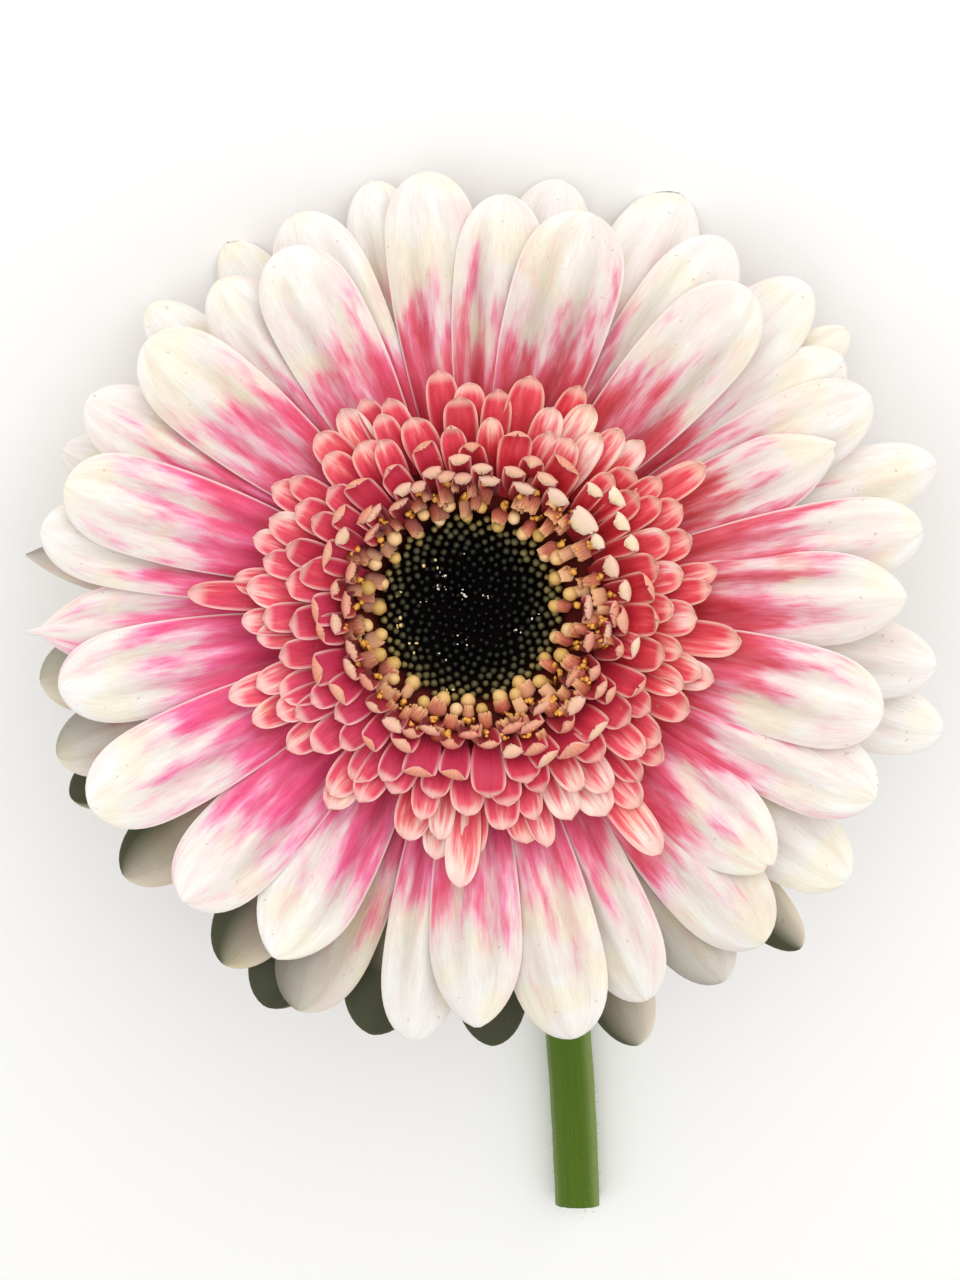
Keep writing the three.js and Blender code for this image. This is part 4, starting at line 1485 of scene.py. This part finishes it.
@dataclass
class Eye:
    """The dark eye: closed buds in a spiral, swollen tan buds at its rim, loose pollen on it."""

    place: HeadPlace
    ring: FloretRing
    radius: float = 10.9
    rim_height: float = 6.3
    # How much lower its middle lies.
    dip: float = 2.0
    spacing: float = 0.6
    bud_count: int = 365
    bud_sizes: tuple[float, float] = (0.38, 0.54)
    # How far out the two rows of swollen buds lie.
    rim_radii: tuple[float, float] = (11.4, 12.7)
    # Loose pollen: how far out, at which azimuth in degrees and how many grains.
    clusters: tuple[tuple[float, float, int], ...] = (
        (4.6, 145, 6), (5.2, 128, 4), (5.6, 168, 3), (1.8, 120, 7), (3.4, 250, 2), (4.7, 268, 2),
        (6.6, 333, 3), (7.6, 95, 2), (6.9, 245, 2), (8.2, 352, 2), (2.6, 30, 3),
    )
    # Crumbs of pollen in the same way, each of a few grains.
    crumbs: tuple[tuple[float, float], ...] = (
        (7.2, 131), (8.9, 166), (8.9, 193), (8.4, 214), (10.6, 257),
    )
    crumb_grains: int = 4

    def height(self, radius: float) -> float:
        """The height of the eye's surface at a radius."""
        return self.rim_height - self.dip * (1 - (radius / self.radius) ** 2)

    def outward(self, azimuth: float, lean: float) -> Array:
        """A direction that leans from the axis towards an azimuth."""
        return unit(heading(azimuth) * lean + np.array([0.0, 0.0, 1.0]))

    def spot(self, radius: float, azimuth: float, height: float) -> Array:
        """A place on the eye."""
        return heading(azimuth) * radius + np.array([*self.place.drift(radius), height])

    def add_bud(self, bundle: Bundle, radius: float, azimuth: float, size: float, ring: float,
                rng: np.random.Generator) -> None:
        """Add one closed bud of the spiral.

        Args:
            bundle: The buds so far.
            radius: How far it is from the eye's middle.
            azimuth: Its direction.
            size: Its greatest radius.
            ring: 0 for a bud in the middle of the eye and 1 for one at its rim.
            rng: The source of what differs between buds.
        """
        tall = size * 1.15
        profile = [(0, -tall * 2.2), (size * 0.6, -tall * 2.1), (size * 0.85, -tall * 0.8),
                   (size, 0), (size * 0.86, tall * 0.5), (size * 0.5, tall * 0.86), (0, tall)]
        points, faces, along = revolve(
            profile, 9, lambda share, angle: 1 + 0.1 * np.cos(3 * angle) * share)
        base = self.spot(radius, azimuth, self.height(radius) + 0.2 + rng.normal(0, 0.05))
        axis = self.outward(azimuth, -0.25 * radius / self.radius + rng.normal(0, 0.06))
        bundle.add(aimed(points, axis, rng.uniform(0, 6.3), base), faces, along=along,
                   blush=np.clip(ring + rng.normal(0, 0.05), 0, 1), seed=rng.uniform())

    def add_ball(self, bundle: Bundle, radius: float, azimuth: float, size: float,
                 rng: np.random.Generator) -> None:
        """Add one swollen tan bud: a drop that leans in over the eye.

        Args:
            bundle: The swollen buds so far.
            radius: How far out it lies.
            azimuth: Its direction.
            size: Its greatest radius.
            rng: The source of what differs between buds.
        """
        profile = [(0, -2.4), (0.4, -2.2), (0.62, -1.1), (0.92, -0.45), (1.0, 0.1), (0.9, 0.6),
                   (0.62, 1.0), (0.3, 1.22), (0, 1.3)]
        points, faces, along = revolve(
            [(r * size, z * size) for r, z in profile], 16,
            lambda share, angle: 1 + 0.07 * np.cos(5 * angle) * share)
        base = self.spot(radius, azimuth, self.height(radius) + 0.7 + 0.7 * (radius > 12))
        axis = self.outward(azimuth + rng.normal(0, 0.3), -rng.uniform(0.7, 1.3))
        bundle.add(aimed(points, axis, rng.uniform(0, 6.3), base), faces, along=along,
                   blush=rng.uniform(0.1, 1.0), seed=rng.uniform())

    def add_grain(self, bundle: Bundle, radius: float, azimuth: float, size: float,
                  rng: np.random.Generator) -> None:
        """Add one loose grain of pollen near a place.

        Args:
            bundle: The grains so far.
            radius: How far the place is from the eye's middle.
            azimuth: Its direction, in degrees.
            size: The grain's radius.
            rng: The source of what differs between grains.
        """
        points, faces, along = revolve([(0, -size), (size, -size * 0.3), (size * 0.8, size * 0.5),
                                        (0, size)], 6)
        base = self.spot(radius, math.radians(azimuth), self.height(radius) + 0.55)
        scatter = rng.normal(0, 0.42, 3) * (1, 1, 0.15)
        bundle.add(points * rng.uniform(0.6, 1.6, 3) + base + scatter, faces, along=along)

    def build(self) -> None:
        """Build and dress the buds, the rim's swollen buds and the loose pollen."""
        rng = np.random.default_rng(SEED + 3)
        buds, balls, specks, crumbs = Bundle(), Bundle(), Bundle(), Bundle()
        for k in range(self.bud_count):
            radius = self.spacing * math.sqrt(k + 0.5) + rng.normal(0, 0.1)
            ring = (max(radius, 0) / self.radius) ** 2
            azimuth = k * GOLDEN_ANGLE + rng.normal(0, 0.12) / (radius + 1)
            size = lerp(*self.bud_sizes, ring) * rng.uniform(0.8, 1.12)
            self.add_bud(buds, radius, azimuth, size, ring, rng)
        for spot in self.ring.spots():
            if spot.row < 2:
                azimuth = math.radians(spot.azimuth + rng.normal(0, 1.6))
                radius = self.rim_radii[spot.row] + spot.out
                self.add_ball(balls, radius, azimuth, rng.uniform(0.7, 1.0), rng)
        for radius, azimuth, count in self.clusters:
            for _ in range(count):
                self.add_grain(specks, radius, azimuth, rng.uniform(0.06, 0.15), rng)
        for radius, azimuth in self.crumbs:
            for _ in range(self.crumb_grains):
                self.add_grain(crumbs, radius, azimuth, rng.uniform(0.12, 0.26), rng)
        matrix = self.place.matrix()
        dress(buds.build("closed_buds", matrix), DISC_BUD.material(), "buds", "disc_buds")
        dress(balls.build("rim_buds", matrix), BALL_BUD.material(), "buds")
        dress(specks.build("loose_pollen", matrix), SPECK.material(), "buds")
        dress(crumbs.build("pollen_crumbs", matrix), CRUMB.material(), "buds")


# ---- green parts ----
def add_hair(bundle: Bundle, root: Array, direction: Array, length: float, width: float) -> None:
    """Add one tapered hair with a bend in it.

    Args:
        bundle: The hairs so far.
        root: Where it grows from.
        direction: Where it points, of length 1.
        length: How long it is.
        width: Its radius at the root.
    """
    aside = unit(np.cross(direction, [0.31, 0.57, 0.76]))
    other = np.cross(direction, aside)
    ring = [math.cos(a) * aside + math.sin(a) * other for a in (0.0, 2.09, 4.19)]
    bend = aside * length * 0.12
    points = np.array(
        [root - direction * 0.1 + side * width for side in ring]
        + [root + direction * length * 0.55 + bend + side * width * 0.7 for side in ring]
        + [root + direction * length]
    )
    walls = np.array([[0, 1, 4, 3], [1, 2, 5, 4], [2, 0, 3, 5]])
    ends = np.array([[3, 4, 6], [4, 5, 6], [5, 3, 6], [2, 1, 0]])
    bundle.add(points, [walls, ends], along=np.array([0, 0, 0, 0.6, 0.6, 0.6, 1]))


@dataclass(frozen=True)
class BractRow:
    """One row of bracts: how many, how high their feet are, where their tips are, how wide."""

    count: int
    foot_height: float
    tip_radius: float
    tip_height: float
    width: float


@dataclass
class Involucre:
    """The green cup behind the petals, with three rows of narrow bracts and short hairs."""

    place: HeadPlace
    depth: float = 14.0
    foot_radius: float = 3.6
    rim_radius: float = 12.8
    rim_height: float = -2.2
    bract_thickness: float = 0.75
    rows: tuple[BractRow, ...] = (
        BractRow(14, -12.4, 12.6, -7.4, 3.0), BractRow(16, -10.2, 14.6, -5.0, 2.9),
        BractRow(18, -7.4, 16.2, -3.6, 2.7),
    )
    hair_count: int = 900
    # Heights of the lowest and highest hair, and each hair's radius at its root.
    hair_heights: tuple[float, float] = (-13.6, -4.5)
    hair_width: float = 0.03

    def cup_radius(self, height: float | Array) -> float | Array:
        """The cup's radius at a height."""
        up = (height + self.depth) / (self.rim_height + self.depth)
        share = np.sin(np.pi / 2 * np.minimum(up, 1))
        return lerp(self.foot_radius, self.rim_radius, share)

    def add_bract(self, bundle: Bundle, azimuth: float, row: BractRow,
                  rng: np.random.Generator) -> None:
        """Add one bract that clasps the cup and springs clear of it at its tip.

        Args:
            bundle: The cup and its bracts so far.
            azimuth: Its direction from the axis, in radians.
            row: The row that it stands in.
            rng: The source of what differs between bracts.
        """
        s = np.linspace(0, 1, 16)
        height = lerp(row.foot_height, row.tip_height, s)
        radius = lerp(self.cup_radius(height) - 0.4, row.tip_radius, s ** 2)
        spine = np.stack([radius, rng.normal(0, 0.3) * s ** 2, height], axis=1)

        def half(share: Array) -> Array:
            """Half the bract's width: a lance head."""
            foot = lerp(0.85, 1.0, ease(0, 0.3, share))
            point = (1 - ease(0.3, 1.02, share)) ** 0.75
            return row.width / 2 * np.maximum(foot * point, 0.06)

        def lift(share: Array, u: Array) -> Array:
            """Edges that turn in, with a keel along the back."""
            return 0.35 * u ** 2 - 0.15 * bell(u, 0, 0.2) * (1 - share)

        Blade(
            spine=spine, half=half, lift=lift, thickness=self.bract_thickness, azimuth=azimuth,
            rows=14, columns=8, twist=rng.normal(0, 0.08), tip_gather=1.3,
        ).add_to(bundle, seed=rng.uniform())

    def build(self) -> None:
        """Build and dress the cup with its bracts, and the hairs."""
        rng = np.random.default_rng(SEED + 4)
        heights = np.linspace(-self.depth, self.rim_height, 14)
        wall = [(float(self.cup_radius(h)), float(h)) for h in heights]
        points, faces, along = revolve(
            [(0, -self.depth), *wall, (0, self.rim_height)], 60,
            lambda share, angle: 1 + 0.008 * np.cos(20 * angle),
        )
        bundle, hairs = Bundle(), Bundle()
        bundle.add(points, faces, along=along * 0.6)
        for number, row in enumerate(self.rows):
            for i in range(row.count):
                turn = (i + number / len(self.rows) + rng.normal(0, 0.05)) / row.count
                self.add_bract(bundle, turn * 2 * np.pi, row, rng)
        for _ in range(self.hair_count):
            out, share = heading(rng.uniform(0, 2 * math.pi)), rng.uniform(0, 0.95)
            height = lerp(*self.hair_heights, share)
            radius = self.cup_radius(height) + 0.5 + 0.9 * share
            direction = unit(out + np.array([0, 0, rng.uniform(0.1, 0.9)]) + rng.normal(0, 0.2, 3))
            add_hair(hairs, out * radius + np.array([0, 0, height]), direction,
                     rng.uniform(0.7, 1.4), self.hair_width)
        matrix = self.place.matrix()
        dress(bundle.build("bract_cup", matrix), BRACT_SKIN.material(), "bracts", "involucre")
        dress(hairs.build("bract_hairs", matrix), HAIR.material(), "bracts")


@dataclass
class Stem:
    """The cut stem: it leaves the cup, bends down to the surface and lies along it."""

    place: HeadPlace
    radius: float = 3.15
    # Height of its centre line where it lies, and how far from the head's centre it is cut.
    rest_height: float = 3.1
    end: float = 107.6
    # How far it sways to the right in all, and how far along it has come half of that.
    sway: float = 17.6
    sway_length: float = 38.0
    # Radius of the neck's bend, and how far under the head's centre that begins.
    neck_radius: float = 19.6
    leave: float = 14.3
    rings: int = 120
    sides: int = 48
    ribs: int = 11
    # The cut face from its thin rind to the sunken pith: share of the radius, depth, paleness.
    cut_face: tuple[tuple[float, float, float], ...] = (
        (0.96, 0.0, 0.5), (0.82, 0.05, 0.8), (0.6, -0.1, 1.0), (0.34, -0.45, 0.9),
        (0.12, -0.55, 0.8),
    )
    hair_count: int = 1500
    hair_width: float = 0.02
    # Hairs root above this height, clear of the surface.
    hair_floor: float = 0.7

    def line(self, t: Array) -> Array:
        """The centre line's points in scene millimetres."""
        tilt, (x0, y0, z0) = self.place.tilt, self.place.centre
        start = math.pi / 2 - tilt
        reach, drop = self.leave * math.sin(tilt), self.leave * math.cos(tilt)
        neck = self.neck_radius * math.sin(start)
        run = t * (self.end - reach)
        slope = np.arcsin(np.clip((neck - run) / self.neck_radius, 0, 1))
        sunk = self.neck_radius * (np.cos(slope) - math.cos(start))
        sway = self.sway * run ** 2 / (run ** 2 + self.sway_length ** 2)
        height = np.maximum(z0 - drop - sunk, self.rest_height)
        return np.stack([x0 + sway, y0 - reach - run, height], axis=1)

    def frames(self, t: Array) -> tuple[Array, Array, Array, Array]:
        """The centre line's points and its forward, sideways and upward directions."""
        middle = self.line(t)
        ahead = unit(np.gradient(middle, axis=0))
        ahead[-1] = ahead[-2] = (0, -1, 0)
        side = unit(np.cross(ahead, [0.0, 0.0, 1.0]) + np.array([1e-9, 0, 0]))
        return middle, ahead, side, np.cross(side, ahead)

    def skin(self, t: Array, angle: Array) -> Array:
        """The ribbed skin's points, one ring for each share of the length.

        Args:
            t: The shares of the length.
            angle: The angles of a ring's points.

        Returns:
            The points, ring by ring.
        """
        middle, _, side, up = self.frames(t)
        along, around = t[:, None], angle[None, :]
        swell = (1 + 0.02 * np.cos(self.ribs * around) + 0.014 * np.sin(9 * along + 2 * around)
                 + 0.008 * np.sin(70 * along + around))
        wide = self.radius * swell * (0.88 + 0.12 * ease(0, 0.03, along))
        skin = (middle[:, None] + side[:, None] * (wide * np.cos(angle))[..., None]
                + up[:, None] * (wide * np.sin(angle))[..., None])
        # The cut leans with the head, so that its upper edge lies further back.
        slant = (skin[..., 2] - middle[:, None, 2]) * math.tan(self.place.tilt)
        skin[..., 1] += slant * ease(0.97, 1.0, along)
        return skin

    def faces(self, rows: int) -> list[Array]:
        """The walls between the rings, and the fans that close the two ends."""
        grid = np.arange(rows * self.sides).reshape(rows, self.sides)
        after = np.roll(grid, -1, axis=1)
        walls = np.stack([grid[:-1].ravel(), grid[1:].ravel(), after[1:].ravel(),
                          after[:-1].ravel()], axis=1)
        start = np.stack([np.full(self.sides, grid.size), grid[0], after[0]], axis=1)
        end = np.stack([np.full(self.sides, grid.size + 1), after[-1], grid[-1]], axis=1)
        return [walls, start, end]

    def add_skin(self, bundle: Bundle) -> None:
        """Add the skin and the cut face, with their tissue values."""
        t = np.linspace(0, 1, self.rings + 1)
        angle = np.arange(self.sides) * 2 * np.pi / self.sides
        middle, ahead, _, _ = self.frames(t)
        skin = self.skin(t, angle)
        cut_rings = [middle[-1] + (skin[-1] - middle[-1]) * share + ahead[-1] * depth
                     for share, depth, _ in self.cut_face]
        _, pith_depth, pith = self.cut_face[-1]
        points = np.concatenate([skin.reshape(-1, 3), *cut_rings, middle[:1],
                                 middle[-1:] + ahead[-1:] * pith_depth])
        face_points = len(self.cut_face) * self.sides
        along = np.concatenate([np.repeat(t, self.sides), np.ones(face_points), [0, 1]])
        cut = np.concatenate([np.zeros(t.size * self.sides),
                              np.repeat([pale for _, _, pale in self.cut_face], self.sides),
                              [0, pith]])
        around = np.cos(angle) * 1.6 + np.sin(angle) * 0.7
        # Painted highlight: its flanks are paler, most on the right.
        flank = ease(0.4, 1.0, -np.cos(angle)) * 0.7 + ease(0.7, 1.0, np.cos(angle)) * 0.3
        rows = t.size + len(self.cut_face)
        across, blush = (
            np.concatenate([np.tile(values, rows), [0, 0]]) for values in (around, flank)
        )
        bundle.add(points, self.faces(rows), along=along, under=cut, seed=0.4, across=across,
                   blush=blush)

    def add_hairs(self, bundle: Bundle) -> None:
        """Add the short hairs all over the skin."""
        rng = np.random.default_rng(SEED + 5)
        middle, ahead, side, up = self.frames(np.linspace(0, 1, self.rings + 1))
        for _ in range(self.hair_count):
            i = rng.integers(2, self.rings)
            a = rng.uniform(0, 2 * math.pi)
            out = side[i] * math.cos(a) + up[i] * math.sin(a)
            root = lerp(middle[i], middle[i + 1], rng.uniform()) + out * self.radius * 0.98
            direction = unit(out + ahead[i] * rng.uniform(-0.5, 0.3) + rng.normal(0, 0.15, 3))
            if root[2] > self.hair_floor:
                add_hair(bundle, root, direction, rng.uniform(0.4, 0.9), self.hair_width)

    def build(self) -> None:
        """Build and dress the ribbed skin, the cut face and the hairs."""
        skin, hairs = Bundle(), Bundle()
        self.add_skin(skin)
        self.add_hairs(hairs)
        metres = np.diag([MM, MM, MM, 1.0])
        dress(skin.build("stem_skin", metres), STEM_SKIN.material(), "stem", "stem")
        dress(hairs.build("stem_hairs", metres), HAIR.material(), "stem")


# ---- the studio ----
@dataclass(frozen=True)
class Lamp:
    """One soft square light: its name, where it hangs, its side in metres and its watts."""

    name: str
    # Its direction from the head, along the head's axis, its top and its right.
    direction: tuple[float, float, float]
    size: float
    power: float


@dataclass
class Studio:
    """The pale surface, the soft light and the camera over the head."""

    place: HeadPlace
    lens: float = 101.25
    sensor: float = 36.0
    clip_start: float = 0.01
    # In millimetres: how far off the camera is, and where it aims from the head's centre.
    distance: float = 450.0
    face_height: float = 4.0
    aim_right: float = 1.25
    aim_down: float = 4.375
    # In metres.
    floor_size: float = 4.0
    floor_shade: str = "FBFAF8"
    floor_roughness: float = 0.9
    lamps: tuple[Lamp, ...] = (
        Lamp("key", (1.0, 0.4, 0.2), 2.6, 32.0), Lamp("fill", (1.0, -0.35, -0.6), 2.0, 6.0),
    )
    lamp_distance: float = 2.2
    sky_strength: float = 0.7

    def directions(self) -> tuple[Vector, Vector, Vector]:
        """The head's axis, its top and its right."""
        return self.place.axis(), self.place.top(), Vector((1, 0, 0))

    def floor(self) -> None:
        """Lay the surface."""
        half = self.floor_size / 2
        mesh = bpy.data.meshes.new("floor")
        mesh.from_pydata([(-half, -half, 0), (half, -half, 0), (half, half, 0), (-half, half, 0)],
                         [], [(0, 1, 2, 3)])
        obj = bpy.data.objects.new("floor", mesh)
        bpy.context.scene.collection.objects.link(obj)
        material = bpy.data.materials.new("matt_paper_white")
        material.use_nodes = True
        shader = material.node_tree.nodes["Principled BSDF"]
        shader.inputs["Roughness"].default_value = self.floor_roughness
        shader.inputs["Base Color"].default_value = linear(self.floor_shade)
        mesh.materials.append(material)

    def light(self, lamp: Lamp) -> None:
        """Hang one light so that it faces the head."""
        axis, top, right = (
            way * share for way, share in zip(self.directions(), lamp.direction)
        )
        away = axis + top + right
        data = bpy.data.lights.new(lamp.name, "AREA")
        data.size = lamp.size
        data.energy = lamp.power
        obj = bpy.data.objects.new(lamp.name, data)
        head = Vector(self.place.centre) * MM
        obj.location = head + away.normalized() * self.lamp_distance
        obj.rotation_euler = (-away).to_track_quat("-Z", "Y").to_euler()
        bpy.context.scene.collection.objects.link(obj)

    def camera(self) -> None:
        """Look straight down the head's axis, with the stem at the foot of the picture."""
        axis, top, right = self.directions()
        face = Vector(self.place.centre) + axis * self.face_height
        aim = face + right * self.aim_right - top * self.aim_down
        data = bpy.data.cameras.new("camera")
        data.lens = self.lens
        data.sensor_width = self.sensor
        data.clip_start = self.clip_start
        obj = bpy.data.objects.new("camera", data)
        turn = Matrix((right, top, axis)).transposed().to_4x4()
        obj.matrix_world = Matrix.Translation((aim + axis * self.distance) * MM) @ turn
        bpy.context.scene.collection.objects.link(obj)
        bpy.context.scene.camera = obj

    def build(self) -> None:
        """Set up everything round the flower."""
        self.floor()
        for lamp in self.lamps:
            self.light(lamp)
        self.camera()
        scene = bpy.context.scene
        scene.view_settings.view_transform = "Standard"
        world = bpy.data.worlds.new("studio")
        world.use_nodes = True
        background = world.node_tree.nodes["Background"]
        background.inputs["Color"].default_value = (1, 1, 1, 1)
        background.inputs["Strength"].default_value = self.sky_strength
        scene.world = world


def main() -> None:
    """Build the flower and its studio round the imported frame."""
    logging.basicConfig(level=logging.INFO, format="%(name)s: %(message)s")
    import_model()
    place = HeadPlace()
    Studio(place).build()
    Stem(place).build()
    Involucre(place).build()
    Bed(place).build()
    LongPetals(place).build()
    ring = FloretRing()
    ShortRays(place, ring).build()
    DiscFlorets(place, ring).build()
    Eye(place, ring).build()
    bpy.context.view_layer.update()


if __name__ == "__main__":
    main()
